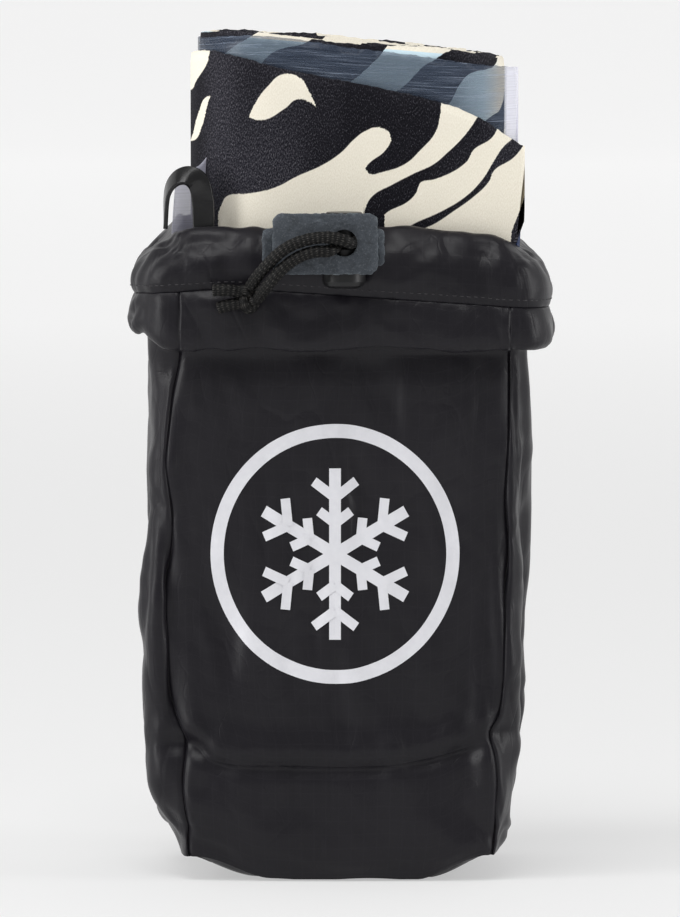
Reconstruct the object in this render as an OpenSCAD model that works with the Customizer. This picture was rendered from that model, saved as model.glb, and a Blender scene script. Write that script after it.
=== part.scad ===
// Drawstring stuff sack holding two rolled splitboard climbing skins, one above the other.
// Millimetres. +Z up, the printed front panel faces -Y, the sack stands on z = 0.

/* [Sack] */
// Width of the sack body across the front
body_w = 138; // [134:1:142]
// Depth of the sack body, front to back
body_d = 78; // [76:1:84]
// Radius of the upright corners
corner_r = 9; // [6:1:12]
// Thickness that stands for the sewn and creased fabric of a wall
wall_t = 1.5; // [1:0.1:1.8]
// How far the slouched fold and the cord channel stand out from the body
cuff_out = 8; // [7:0.5:10]
// Height of the lower edge of the slouched fold
fold_z = 193; // [185:1:198]
// Height of the seam between the fold and the cord channel
seam_z = 212; // [208:1:214]
// Height of the mouth's rim
rim_z = 238; // [237:1:244]

/* [Print] */
// Radius of the printed ring
emblem_r = 47; // [35:1:52]
// Stroke of the printed ring
emblem_stroke = 5; // [3:0.5:7]
// Height of the ring's centre
emblem_z = 119; // [100:1:130]

/* [Drawcord] */
// Diameter of the drawcord
cord_d = 4.4; // [4:0.1:4.6]
// Height of the cord where it leaves the channel
cord_z = 232.5; // [231:0.5:233]
// Gap between the axes of the two strands in the lock
strand_gap = 4.8; // [4.7:0.1:5]

/* [Cord lock] */
// Outer radius of the barrel and of the button
lock_r = 7.7; // [7.5:0.1:7.7]
// Radius of the plunger's stem
stem_r = 6; // [5.9:0.1:6]
// How far the button is pressed
press = 2.4; // [2:0.1:2.4]

/* [Skins] */
// Width of a climbing skin, which is the height of its roll
skin_w = 150; // [140:1:150]
// Width of a roll
roll_w = 121; // [116:1:121]
// Depth of a roll
roll_d = 66; // [62:1:67]
// Distance from one turn to the next
pitch = 3.4; // [3.2:0.1:3.6]
// Thickness of the plush and its backing
plush_t = 2; // [1.6:0.1:2]
// Thickness of the glue layer
glue_t = 0.4; // [0.2:0.1:0.4]
// Thickness of the release liner
liner_t = 0.3; // [0.2:0.1:0.3]
// Number of half turns in a roll
half_turns = 12; // [10:1:12]
// How far the outermost turn's end stops short of the roll's side
flap_short = 4.6; // [4.5:0.1:8]
// How much lower the cut end of the upper skin is at its tip
end_taper = 38; // [20:1:45]

/* [Hidden] */
half_w = body_w / 2;
half_d = body_d / 2;
seam_x = half_w - corner_r;
corner_steps = 6;
arc_steps = 8;
touch = 0.01;

// The channel's tunnel, measured outwards from the body's face
tunnel_in = 0.5;
tunnel_out = cuff_out - 1.5;
tunnel_low = seam_z + 2.5;
tunnel_high = rim_z - 1.5;
tunnel_mid = (tunnel_in + tunnel_out) / 2;

// The pull patch, the lock and the cord share one axis that runs front to back
lock_x = 1.4;
lock_y = -55;
suede_t = 1.6;
patch_front = -66;
exit_w = 20;
exit_h = 6;
hole_r = strand_gap / 2 + cord_d / 2 + 0.2;

// Lock, from the button's face upwards
button_low = 216;
button_h = 6;
barrel_low = button_low + button_h + press + 0.1;
barrel_high = 243;
cavity_high = barrel_high - 1;
running_gap = 0.08;
slot_w = strand_gap + cord_d + 0.4;
slot_high = cord_z + cord_d / 2 + 0.05;
slot_low = cord_z - cord_d / 2 - press - 0.3;
stem_high = slot_high + 0.8;
spring_r = 4.6;
spring_wire = 0.6;
spring_turns = 4;

// Rolls
roll_x = 6.1;
roll_gap = 0.5;
lower_z = wall_t + roll_gap;
upper_z = lower_z + skin_w + roll_gap;
outer_r = roll_d / 2;
straight = roll_w / 2 - outer_r;
flap_end_x = roll_x + roll_w / 2 - flap_short;
glue_in = plush_t;
liner_in = plush_t + glue_t;
layer_t = plush_t + glue_t + liner_t;
core_r = outer_r - (half_turns - 1) * pitch / 2 - layer_t;

// Tail straps and tip hardware
strap_t = 1.4;
strap_w = 7;
strap_y = -outer_r - strap_t - 0.1;
rivet_r = 1.5;
rivet_head_r = 3;
rivet_head_h = 0.4;
tab_t = 1.6;
tab_w = 34;
tab_l = 30;
tab_x = roll_x + 27;
tab_y = pitch / 2 - core_r;
loop_bar = 3.2;
loop_w = 44;
loop_l = 22;
sleeve_r = loop_bar / 2 + running_gap + tab_t;
loop_x = tab_x - tab_l - sleeve_r;
loop_y = tab_y + sleeve_r;
upper_rivet_z = 45;
lower_rivet_z = 110;

nylon = [0.17, 0.16, 0.18];
silver = [0.86, 0.86, 0.88];
cord_black = [0.1, 0.1, 0.1];
suede_blue = [0.25, 0.28, 0.32];
lock_black = [0.13, 0.13, 0.14];
steel = [0.7, 0.7, 0.72];
plush_cream = [0.85, 0.82, 0.75];
glue_blue = [0.2, 0.35, 0.7];
liner_grey = [0.45, 0.5, 0.6];

// Routes of the two free strands, from the patch's hole to the knot
upper_route = [
    [3.8, -66, 232.5], [3.6, -68.4, 232.8], [1.6, -70.6, 233.8], [-3, -71.4, 234.8],
    [-9, -71.4, 234.6], [-15, -71, 233], [-20, -70.4, 230.4], [-24, -69, 226.8],
    [-27.4, -66, 223], [-30, -61.4, 219.6], [-31.6, -57, 217]
];
lower_route = [
    [-1, -66, 232.5], [-2, -68, 230.9], [-4.2, -70.2, 230], [-8.4, -70.8, 229.8],
    [-13, -70.4, 228.6], [-17.6, -69.6, 226], [-21.8, -69, 222.2], [-24.8, -66.8, 218.6],
    [-27.4, -62, 215.2], [-29, -57, 212.4]
];
knot_centre = [-32.4, -53, 212.4];

// Points on an arc about centre c, from angle a0 to a1
function arc(c, r, a0, a1, n) =
    [for (i = [0 : n]) let (a = a0 + (a1 - a0) * i / n) [c[0] + r * cos(a), c[1] + r * sin(a)]];

function reversed(list) = [for (i = [len(list) - 1 : -1 : 0]) list[i]];

// The half outline of the sack on the +X side, from the front seam to the back seam, moved out by d
function side_outline(d) = concat(
    arc([seam_x, -half_d + corner_r], corner_r + d, -90, 0, corner_steps),
    arc([seam_x, half_d - corner_r], corner_r + d, 0, 90, corner_steps)
);

// The whole outline of the sack, moved out by d
function ring_outline(d) = concat(
    side_outline(d),
    [for (p = reversed(side_outline(d))) [-p[0], p[1]]]
);

// A tube swept along route: rings of n points, each square to the route
function along(route, i) =
    let (a = route[max(i - 1, 0)], b = route[min(i + 1, len(route) - 1)]) (b - a) / norm(b - a);
function ring(route, i, r, n, side) =
    let (t = along(route, i), c = cross(t, side), u = c / norm(c), v = cross(u, t))
    [for (k = [0 : n - 1]) route[i] + r * (cos(360 * k / n) * u + sin(360 * k / n) * v)];

module swept_tube(route, d, n, side) {
    rings = len(route);
    points = [for (i = [0 : rings - 1]) each ring(route, i, d / 2, n, side)];
    walls = [for (i = [0 : rings - 2]) for (k = [0 : n - 1]) let (m = (k + 1) % n)
        each [[i * n + k, i * n + m, (i + 1) * n + m], [i * n + k, (i + 1) * n + m, (i + 1) * n + k]]];
    ends = [
        [for (k = [n - 1 : -1 : 0]) k],
        [for (k = [0 : n - 1]) (rings - 1) * n + k]
    ];
    polyhedron(points, concat(walls, ends));
}

// Lays a drawing made in X and Z upright: its thickness runs along Y from y, away from the front
module upright(y, t) {
    translate([0, y + t, 0]) rotate([90, 0, 0]) linear_extrude(t) children();
}

// ---- Sack ----

// The back panel as a wall with the fold's bulge along its top
module long_panel() {
    color(nylon) union() {
        translate([-seam_x, half_d - wall_t, 0]) cube([2 * seam_x, wall_t, fold_z]);
        translate([-seam_x, half_d - wall_t, fold_z])
            cube([2 * seam_x, wall_t + cuff_out, seam_z - fold_z]);
    }
}

module front_panel() {
    mirror([0, 1, 0]) long_panel();
}

module back_panel() {
    long_panel();
}

module gusset_right_side() {
    color(nylon) union() {
        linear_extrude(fold_z) polygon(concat(side_outline(0), reversed(side_outline(-wall_t))));
        translate([0, 0, fold_z]) linear_extrude(seam_z - fold_z)
            polygon(concat(side_outline(cuff_out), reversed(side_outline(-wall_t))));
    }
}

module right_gusset() {
    gusset_right_side();
}

module left_gusset() {
    mirror([1, 0, 0]) gusset_right_side();
}

module base_panel() {
    color(nylon) linear_extrude(wall_t) polygon(ring_outline(-wall_t));
}

// The channel is a closed tunnel round the mouth, open only at the cord's buttonhole
module cord_channel() {
    ring_points = len(ring_outline(0));
    paths = [
        [for (i = [0 : ring_points - 1]) i],
        [for (i = [0 : ring_points - 1]) ring_points + i]
    ];
    color(nylon) difference() {
        translate([0, 0, seam_z]) linear_extrude(rim_z - seam_z)
            polygon(concat(ring_outline(cuff_out), ring_outline(-wall_t)), paths);
        translate([0, 0, tunnel_low]) linear_extrude(tunnel_high - tunnel_low)
            polygon(concat(ring_outline(tunnel_out), ring_outline(tunnel_in)), paths);
        translate([lock_x - exit_w / 2, -half_d - cuff_out - 1, cord_z - exit_h / 2])
            cube([exit_w, cuff_out - tunnel_mid + 1, exit_h]);
    }
}

// A plain ring round a six-armed flake
module emblem_print() {
    arm_l = emblem_r - 3.2 * emblem_stroke;
    color(silver) translate([0, 0, emblem_z]) upright(-half_d - 0.4, 0.4) {
        difference() {
            circle(emblem_r, $fn = 96);
            circle(emblem_r - emblem_stroke, $fn = 96);
        }
        union() for (a = [0 : 60 : 300]) rotate(a) {
            translate([-2, 0]) square([4, arm_l]);
            for (s = [-1, 1]) translate([0, arm_l * 0.55]) rotate(s * 50)
                translate([-1.5, 0]) square([3, arm_l * 0.34]);
        }
    }
}

// ---- Drawcord ----

// One cord: in through the lock, round the channel and out through the lock again
module channel_drawcord() {
    d = tunnel_mid;
    front_y = -half_d - d;
    half = concat(
        [[lock_x + strand_gap / 2, patch_front], [lock_x + strand_gap / 2, -56],
         [lock_x + strand_gap / 2, -49], [lock_x + strand_gap / 2 + 2, -45.2],
         [lock_x + strand_gap / 2 + 7, -43]],
        [for (x = [20 : 13 : seam_x - 1]) [x, front_y]],
        arc([seam_x, -half_d + corner_r], corner_r + d, -90, 0, 2),
        [[half_w + d, -10], [half_w + d, 10]],
        arc([seam_x, half_d - corner_r], corner_r + d, 0, 90, 2),
        [for (x = [46 : -15 : 1]) [x, half_d + d]]
    );
    other = [for (p = reversed(half)) [p[1] < -half_d - d + touch ? 2 * lock_x - p[0] : -p[0], p[1]]];
    color(cord_black)
        swept_tube([for (p = concat(half, other)) [p[0], p[1], cord_z]], cord_d, 8, [0, 0, 1]);
}

module cord_strand_upper() {
    color(cord_black) swept_tube(upper_route, cord_d, 8, [1, 0, -1]);
}

module cord_strand_lower() {
    color(cord_black) swept_tube(lower_route, cord_d, 8, [1, 0, -1]);
}

module cord_knot() {
    color(cord_black) translate(knot_centre) {
        hull() for (p = [[-2, 0, -1.5], [1.5, 0, 2], [1, 0, -2]]) translate(p) sphere(3.6, $fn = 24);
        for (z = [-2.3, 2.3]) translate([-3, 0, z]) rotate([0, -90, 0]) cylinder(h = 10, d = cord_d, $fn = 24);
    }
}

module rounded_plate(x0, x1, z0, z1, r) {
    polygon(concat(
        arc([x1 - r, z0 + r], r, -90, 0, corner_steps),
        arc([x1 - r, z1 - r], r, 0, 90, corner_steps),
        arc([x0 + r, z1 - r], r, 90, 180, corner_steps),
        arc([x0 + r, z0 + r], r, 180, 270, corner_steps)
    ));
}

module suede_layer(x0, x1, z0, z1, r, y) {
    color(suede_blue) difference() {
        upright(y, suede_t) rounded_plate(x0, x1, z0, z1, r);
        translate([lock_x, y - 1, cord_z]) rotate([-90, 0, 0])
            cylinder(h = suede_t + 2, r = hole_r, $fn = 48);
    }
}

module suede_patch() {
    suede_layer(-24, 13.4, 221.4, 243, 3.5, patch_front);
}

module suede_backer() {
    suede_layer(-27.6, 15.8, 224.4, 237.6, 2, patch_front + suede_t);
}

// ---- Cord lock ----

module lock_barrel() {
    color(lock_black) difference() {
        translate([lock_x, lock_y, 0]) rotate_extrude($fn = 64) polygon([
            [0, barrel_high], [0, cavity_high], [stem_r + running_gap, cavity_high],
            [stem_r + running_gap, barrel_low], [lock_r, barrel_low],
            [lock_r, barrel_high - 1.5], [lock_r - 1.5, barrel_high]
        ]);
        translate([lock_x - slot_w / 2, lock_y - 10, cord_z - cord_d / 2 - 0.3])
            cube([slot_w, 20, cord_d + 0.6]);
    }
}

module lock_plunger() {
    color(lock_black) difference() {
        translate([lock_x, lock_y, 0]) rotate_extrude($fn = 64) polygon([
            [0, stem_high], [stem_r, stem_high], [stem_r, button_low + button_h],
            [lock_r, button_low + button_h], [lock_r, button_low + 2.4],
            [lock_r - 0.7, button_low + 0.9], [lock_r - 2.4, button_low], [0, button_low]
        ]);
        translate([lock_x - slot_w / 2, lock_y - 10, slot_low])
            cube([slot_w, 20, slot_high - slot_low]);
    }
}

module lock_spring() {
    low = stem_high + spring_wire / 2;
    high = cavity_high - spring_wire / 2;
    steps = 10 * spring_turns;
    route = [for (i = [0 : steps]) [
        lock_x + spring_r * cos(36 * i), lock_y + spring_r * sin(36 * i), low + (high - low) * i / steps
    ]];
    color(steel) swept_tube(route, spring_wire, 6, [0, 0, 1]);
}

// ---- Skins ----

// A wound strip seen from above: half turns about two centres, each smaller than the last
function turn_r(k) = outer_r - k * pitch / 2;
function turn_arc(k, inset) = k % 2 == 0
    ? arc([roll_x - straight, 0], turn_r(k) - inset, 270, 90, arc_steps)
    : arc([roll_x + straight, pitch / 2], turn_r(k) - inset, 90, -90, arc_steps);
function wound_edge(inset) = concat(
    [[flap_end_x, -outer_r + inset]],
    [for (k = [0 : half_turns - 1]) each turn_arc(k, inset)],
    [[roll_x, pitch / 2 - turn_r(half_turns - 1) + inset]]
);

module wound_strip(inset, t) {
    linear_extrude(skin_w) polygon(concat(wound_edge(inset), reversed(wound_edge(inset + t))));
}

// The upper skin's cut end slopes down towards its tip, on the outermost front turn only
module end_cut() {
    upright(-outer_r - 1, layer_t + 1.3) polygon([
        [-35, skin_w + 1], [-35, skin_w - end_taper * 0.2],
        [flap_end_x + 1, skin_w - end_taper], [flap_end_x + 1, skin_w + 1]
    ]);
}

// Holes for the two rivets that hold a tail strap on the outermost turn
module rivet_places(z) {
    for (x = [-16, -8]) translate([x, 0, z]) rotate([90, 0, 0]) children();
}

module rivet_holes(z) {
    rivet_places(z) cylinder(h = outer_r + 1, r = rivet_r, $fn = 32);
}

module skin_layer(inset, t, tint, z, cut, rivet_z) {
    color(tint) translate([0, 0, z]) difference() {
        wound_strip(inset, t);
        if (cut) end_cut();
        intersection() {
            rivet_holes(rivet_z);
            translate([-30, -outer_r - 1, 0]) cube([40, layer_t + 1.3, skin_w]);
        }
    }
}

module upper_plush() {
    skin_layer(0, plush_t, plush_cream, upper_z, true, upper_rivet_z);
}

module upper_glue() {
    skin_layer(glue_in, glue_t, glue_blue, upper_z, true, upper_rivet_z);
}

module upper_liner() {
    skin_layer(liner_in, liner_t, liner_grey, upper_z, true, upper_rivet_z);
}

module lower_plush() {
    skin_layer(0, plush_t, plush_cream, lower_z, false, lower_rivet_z);
}

module lower_glue() {
    skin_layer(glue_in, glue_t, glue_blue, lower_z, false, lower_rivet_z);
}

module lower_liner() {
    skin_layer(liner_in, liner_t, liner_grey, lower_z, false, lower_rivet_z);
}

// Strap outline with holes for its rivets, lying on the roll's front
module strap_from(outline, z) {
    color(lock_black) difference() {
        upright(strap_y, strap_t) polygon(outline);
        rivet_places(z) cylinder(h = outer_r + 5, r = rivet_r, $fn = 32);
    }
}

// Runs out to the roll's left, up past the rim and back down in a narrow arch
module upper_tail_strap() {
    base = upper_z + upper_rivet_z;
    half = strap_w / 2;
    strap_from(concat(
        [[-3, base - half], [-3, base + half], [-46, base + half], [-48.5, base + half + 3]],
        arc([-56, 249.5], 7.5, 0, 170, 8),
        [[-63.6, 236], [-62, 235.6]],
        arc([-56.4, 249.5], 5.6, 168, 60, 6),
        [[-55.4, 245], [-55.4, base + half], [-52, base - half]]
    ), base);
}

// Lies folded along the front of the lower roll
module lower_tail_strap() {
    base = lower_z + lower_rivet_z;
    half = strap_w / 2;
    strap_from([
        [-20, base - half], [40, base - half], [40, base + half], [-20, base + half]
    ], base);
}

module strap_rivets(z) {
    color(steel) rivet_places(z) {
        translate([0, 0, outer_r - plush_t]) cylinder(h = plush_t + strap_t + 0.1, r = rivet_r, $fn = 32);
        translate([0, 0, -strap_y]) cylinder(h = rivet_head_h, r = rivet_head_r, $fn = 32);
    }
}

module upper_strap_rivets() {
    strap_rivets(upper_z + upper_rivet_z);
}

module lower_strap_rivets() {
    strap_rivets(lower_z + lower_rivet_z);
}

// The inner end of a skin carries a tab, folded into a sleeve round one bar of a wire loop
module tip_tab(z) {
    mid_z = z + skin_w / 2;
    color(lock_black) difference() {
        union() {
            translate([loop_x, tab_y, mid_z - tab_w / 2]) cube([tab_l + sleeve_r, tab_t, tab_w]);
            translate([loop_x, loop_y, mid_z - tab_w / 2]) cylinder(h = tab_w, r = sleeve_r, $fn = 48);
        }
        translate([loop_x, loop_y, mid_z - tab_w])
            cylinder(h = 2 * tab_w, r = loop_bar / 2 + running_gap, $fn = 48);
    }
}

// A flat wire loop whose bar turns in the sleeve
module tip_loop(z) {
    mid_z = z + skin_w / 2;
    x1 = loop_x + loop_bar / 2;
    bar_l = tab_w + 1;
    color(steel) union() {
        difference() {
            upright(loop_y - loop_bar / 2, loop_bar) difference() {
                rounded_plate(x1 - loop_l, x1, mid_z - loop_w / 2, mid_z + loop_w / 2, 4);
                rounded_plate(x1 - loop_l + loop_bar, x1 - loop_bar,
                    mid_z - loop_w / 2 + loop_bar, mid_z + loop_w / 2 - loop_bar, 1);
            }
            translate([x1 - loop_bar - 1, loop_y - loop_bar, mid_z - bar_l / 2])
                cube([loop_bar + 2, 2 * loop_bar, bar_l]);
        }
        translate([loop_x, loop_y, mid_z - bar_l / 2]) cylinder(h = bar_l, r = loop_bar / 2, $fn = 48);
    }
}

module upper_tip_tab() {
    tip_tab(upper_z);
}

module upper_tip_loop() {
    tip_loop(upper_z);
}

module lower_tip_tab() {
    tip_tab(lower_z);
}

module lower_tip_loop() {
    tip_loop(lower_z);
}

front_panel();
back_panel();
left_gusset();
right_gusset();
base_panel();
cord_channel();
emblem_print();
channel_drawcord();
cord_strand_upper();
cord_strand_lower();
cord_knot();
suede_patch();
suede_backer();
lock_barrel();
lock_plunger();
lock_spring();
upper_plush();
upper_glue();
upper_liner();
upper_tail_strap();
upper_strap_rivets();
upper_tip_tab();
upper_tip_loop();
lower_plush();
lower_glue();
lower_liner();
lower_tail_strap();
lower_strap_rivets();
lower_tip_tab();
lower_tip_loop();
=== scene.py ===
"""A black ripstop stuff sack, slouched at the mouth, with two rolled splitboard climbing skins in it."""
import math

import bpy
import numpy as np
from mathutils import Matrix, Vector
from mathutils.bvhtree import BVHTree


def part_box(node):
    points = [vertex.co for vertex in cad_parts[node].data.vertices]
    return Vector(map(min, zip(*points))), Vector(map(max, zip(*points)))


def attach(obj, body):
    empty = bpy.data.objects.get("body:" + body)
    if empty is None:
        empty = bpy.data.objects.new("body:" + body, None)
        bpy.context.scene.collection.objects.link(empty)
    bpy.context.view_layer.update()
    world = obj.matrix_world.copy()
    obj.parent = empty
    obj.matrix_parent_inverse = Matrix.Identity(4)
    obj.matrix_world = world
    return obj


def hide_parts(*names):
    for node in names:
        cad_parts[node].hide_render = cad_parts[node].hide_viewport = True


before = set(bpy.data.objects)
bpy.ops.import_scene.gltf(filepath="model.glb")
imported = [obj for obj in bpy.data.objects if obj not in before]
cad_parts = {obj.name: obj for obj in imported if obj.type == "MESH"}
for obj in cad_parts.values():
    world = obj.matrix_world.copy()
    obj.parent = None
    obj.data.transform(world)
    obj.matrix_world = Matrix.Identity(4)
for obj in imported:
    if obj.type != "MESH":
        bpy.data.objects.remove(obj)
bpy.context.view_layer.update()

MM = 0.001
rng = np.random.default_rng(7)

# ---- Sizes read from the frame, in millimetres ----


def cad_box(node):
    low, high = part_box(node)
    return np.array(low) / MM, np.array(high) / MM


emblem_low, emblem_high = cad_box("emblem_print")
plush_low, plush_high = cad_box("upper_plush")
lower_low, lower_high = cad_box("lower_plush")
patch_low, patch_high = cad_box("suede_patch")
backer_low, backer_high = cad_box("suede_backer")
barrel_low, barrel_high = cad_box("lock_barrel")
strap_low, strap_high = cad_box("upper_tail_strap")

SEAM_Z = cad_box("cord_channel")[0][2]
FRONT_Y = emblem_high[1]
EMBLEM_C = (emblem_low + emblem_high) / 2
LOCK_X = (barrel_low[0] + barrel_high[0]) / 2
STRAP_Y = (strap_low[1] + strap_high[1]) / 2

# Where the straight body ends and the cuff begins
BODY_TOP = 192.0
CLOTH_T = 0.35
FILM_T = 0.14


def grid_faces(rows, cols, wrap=False, start=0):
    """Faces of a grid of points stored row by row."""
    last = cols if wrap else cols - 1
    faces = []
    for r in range(rows - 1):
        for c in range(last):
            d = (c + 1) % cols
            faces.append((start + r * cols + c, start + r * cols + d,
                          start + (r + 1) * cols + d, start + (r + 1) * cols + c))
    return faces


# ---- Camera, light and stage ----

VIEW_H = 330.0
CAMERA_D = 2.4
CAMERA_UP = math.radians(5)
TARGET = Vector((0.0, FRONT_Y * MM, 0.1535))
SENSOR = 36
WHITE = (1, 1, 1, 1)
FLOOR_R = 6.0
COVE_R = 1.0
WALL_H = 7.0
# The floor lies this far under the part, in metres
FLOOR_DROP = 0.0004


def make_camera():
    data = bpy.data.cameras.new("camera")
    data.sensor_width = SENSOR
    data.lens = SENSOR * CAMERA_D / (VIEW_H * MM)
    data.clip_end = 50
    camera = bpy.data.objects.new("camera", data)
    bpy.context.collection.objects.link(camera)
    back = Vector((0, -math.cos(CAMERA_UP), math.sin(CAMERA_UP)))
    camera.location = TARGET + back * CAMERA_D
    camera.rotation_euler = (-back).to_track_quat("-Z", "Y").to_euler()
    bpy.context.scene.camera = camera


def soft_box(name, place, size, power, aim):
    data = bpy.data.lights.new(name, "AREA")
    data.shape = "RECTANGLE"
    data.size, data.size_y = size
    data.energy = power
    lamp = bpy.data.objects.new(name, data)
    bpy.context.collection.objects.link(lamp)
    lamp.location = place
    lamp.rotation_euler = (Vector(aim) - Vector(place)).to_track_quat("-Z", "Y").to_euler()


def make_lights():
    world = bpy.data.worlds.new("studio")
    bpy.context.scene.world = world
    world.use_nodes = True
    shade = world.node_tree.nodes["Background"]
    shade.inputs["Color"].default_value = WHITE
    shade.inputs["Strength"].default_value = 0.36
    middle = (0, 0, 0.15)
    soft_box("left_box", (-1.5, -0.6, 0.6), (0.5, 1.3), 14, middle)
    soft_box("right_box", (1.5, -0.35, 0.5), (0.4, 1.2), 9, middle)
    soft_box("top_box", (-0.3, -0.7, 1.7), (1.2, 0.7), 14, middle)


def make_stage():
    """A round white floor that turns up into a wall behind the object."""
    reach = [(0.0, 0.0), (FLOOR_R, 0.0)]
    for a in np.radians(range(10, 91, 10)):
        reach.append((FLOOR_R + COVE_R * math.sin(a), COVE_R * (1 - math.cos(a))))
    reach.append((FLOOR_R + COVE_R, WALL_H))
    turns = 72
    points, faces = [], []
    for r, z in reach:
        for k in range(turns):
            a = 2 * math.pi * k / turns
            points.append((r * math.cos(a), r * math.sin(a), z - FLOOR_DROP))
    for f in grid_faces(len(reach), turns, wrap=True):
        low = f[0] < turns
        behind = (f[0] % turns) < turns // 2
        if low or behind:
            faces.append(f)
    mesh = bpy.data.meshes.new("floor")
    mesh.from_pydata(points, [], faces)
    mesh.shade_smooth()
    floor = bpy.data.objects.new("floor", mesh)
    bpy.context.collection.objects.link(floor)
    mat = bpy.data.materials.new("studio_floor")
    mat.use_nodes = True
    bsdf = mat.node_tree.nodes["Principled BSDF"]
    bsdf.inputs["Base Color"].default_value = (0.42, 0.42, 0.42, 1)
    bsdf.inputs["Emission Color"].default_value = WHITE
    tree = mat.node_tree
    coords = tree.nodes.new("ShaderNodeTexCoord")
    away = tree.nodes.new("ShaderNodeVectorMath")
    away.operation = "LENGTH"
    tree.links.new(coords.outputs["Object"], away.inputs[0])
    # The floor glows a little more where the lamps no longer reach it
    glow = tree.nodes.new("ShaderNodeMapRange")
    glow.inputs["From Min"].default_value = 0.3
    glow.inputs["From Max"].default_value = 3.0
    glow.inputs["To Min"].default_value = 0.44
    glow.inputs["To Max"].default_value = 0.62
    tree.links.new(away.outputs["Value"], glow.inputs["Value"])
    tree.links.new(glow.outputs["Result"], bsdf.inputs["Emission Strength"])
    bsdf.inputs["Roughness"].default_value = 0.9
    bsdf.inputs["Specular IOR Level"].default_value = 0.1
    mesh.materials.append(mat)


bpy.context.scene.view_settings.view_transform = "Standard"
make_camera()
make_lights()
make_stage()

# ---- Mesh helpers (millimetres in, metres out) ----


def smoothstep(a, b, x):
    t = np.clip((np.asarray(x, float) - a) / (b - a), 0, 1)
    return t * t * (3 - 2 * t)


def unit(rows):
    """Each row divided by its own length."""
    return rows / np.linalg.norm(rows, axis=1)[:, None]


def run_along(path):
    """The distance from the start of path to each of its points."""
    return np.concatenate([[0], np.cumsum(np.linalg.norm(np.diff(path, axis=0), axis=1))])


def columns_at(places, marks, table):
    """Each of the three columns of table, given at marks, read off at places."""
    return np.stack([np.interp(places, marks, table[:, k]) for k in range(3)], axis=1)


def curve_of(points, blur=5.0):
    """A smooth function through given (place, value) points."""
    places, values = zip(*points)
    grid = np.arange(places[0] - 30, places[-1] + 30, 1.0)
    raw = np.interp(grid, places, values)
    taps = np.exp(-0.5 * (np.arange(-15, 16) / blur) ** 2)
    smooth = np.convolve(np.pad(raw, 15, mode="edge"), taps / taps.sum(), mode="valid")
    return lambda z: np.interp(z, grid, smooth)


class Waves:
    """Smooth seeded noise: a sum of plane waves with random directions, about -1 to 1."""

    def __init__(self, size, count=14, stretch=(1, 1, 1)):
        turn = unit(rng.normal(size=(count, 3)))
        self.k = turn * (2 * math.pi / size) * rng.uniform(0.6, 1.5, (count, 1)) / np.array(stretch)
        self.phase = rng.uniform(0, 2 * math.pi, count)
        self.gain = 1.6 / math.sqrt(count)

    def __call__(self, p):
        return np.sin(np.asarray(p) @ self.k.T + self.phase).sum(axis=-1) * self.gain


class Facets:
    """Crumpled cloth: a sum of triangle waves in random directions, about -1 to 1, bent by smooth noise."""

    def __init__(self, size, count=7, stretch=(1, 1, 1)):
        self.base = Waves(size, count, stretch)
        self.bend = [Waves(size * 2.2, 6) for _ in range(3)]
        self.size = size

    def __call__(self, p):
        p = np.asarray(p)
        p = p + 0.22 * self.size * np.stack([b(p) for b in self.bend], axis=-1)
        turns = p @ self.base.k.T + self.base.phase
        return np.arcsin(np.sin(turns)).sum(axis=-1) * self.base.gain * 0.7


def mesh_object(name, points, faces, uv=None):
    """uv holds one (u, v) for each point, in millimetres, stored in decimetres."""
    mesh = bpy.data.meshes.new(name)
    mesh.from_pydata([tuple(p) for p in np.asarray(points) * MM], [], faces)
    if uv is not None:
        layer = mesh.uv_layers.new(name="cloth")
        corner = np.zeros(len(mesh.loops), dtype=np.int32)
        mesh.loops.foreach_get("vertex_index", corner)
        layer.data.foreach_set("uv", (np.asarray(uv)[corner] / 100).ravel())
    mesh.shade_smooth()
    obj = bpy.data.objects.new(name, mesh)
    bpy.context.collection.objects.link(obj)
    return obj


def apply_modifiers(obj):
    graph = bpy.context.evaluated_depsgraph_get()
    mesh = bpy.data.meshes.new_from_object(obj.evaluated_get(graph))
    obj.modifiers.clear()
    obj.data = mesh
    mesh.shade_smooth()


def thicken(obj, thickness):
    mod = obj.modifiers.new("thick", "SOLIDIFY")
    mod.thickness = thickness * MM
    mod.offset = 0
    mod.use_even_offset = False
    apply_modifiers(obj)


def subdivide(obj):
    mod = obj.modifiers.new("smooth", "SUBSURF")
    mod.levels = mod.render_levels = 1
    apply_modifiers(obj)


def resample(route, step):
    """Points a step apart on a smooth curve through route."""
    route = np.array(route, float)
    padded = np.vstack([2 * route[0] - route[1], route, 2 * route[-1] - route[-2]])
    dense = []
    for i in range(1, len(padded) - 2):
        a, b, c, d = padded[i - 1:i + 3]
        t = np.linspace(0, 1, 24, endpoint=False)[:, None]
        dense.append(0.5 * (2 * b + (c - a) * t + (2 * a - 5 * b + 4 * c - d) * t**2
                            + (3 * b - a - 3 * c + d) * t**3))
    dense = np.vstack(dense + [route[-1:]])
    run = run_along(dense)
    count = max(2, round(run[-1] / step))
    return columns_at(np.linspace(0, run[-1], count + 1), run, dense), run[-1]


def normals_along(path):
    """Two normals at each point of path, carried along without twist."""
    tangent = unit(np.gradient(path, axis=0))
    side = np.cross(tangent[0], (0.3, 0.5, 0.81))
    side /= np.linalg.norm(side)
    sides = []
    for t in tangent:
        side = side - t * side.dot(t)
        side /= np.linalg.norm(side)
        sides.append(side)
    sides = np.array(sides)
    return sides, np.cross(tangent, sides)


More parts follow.
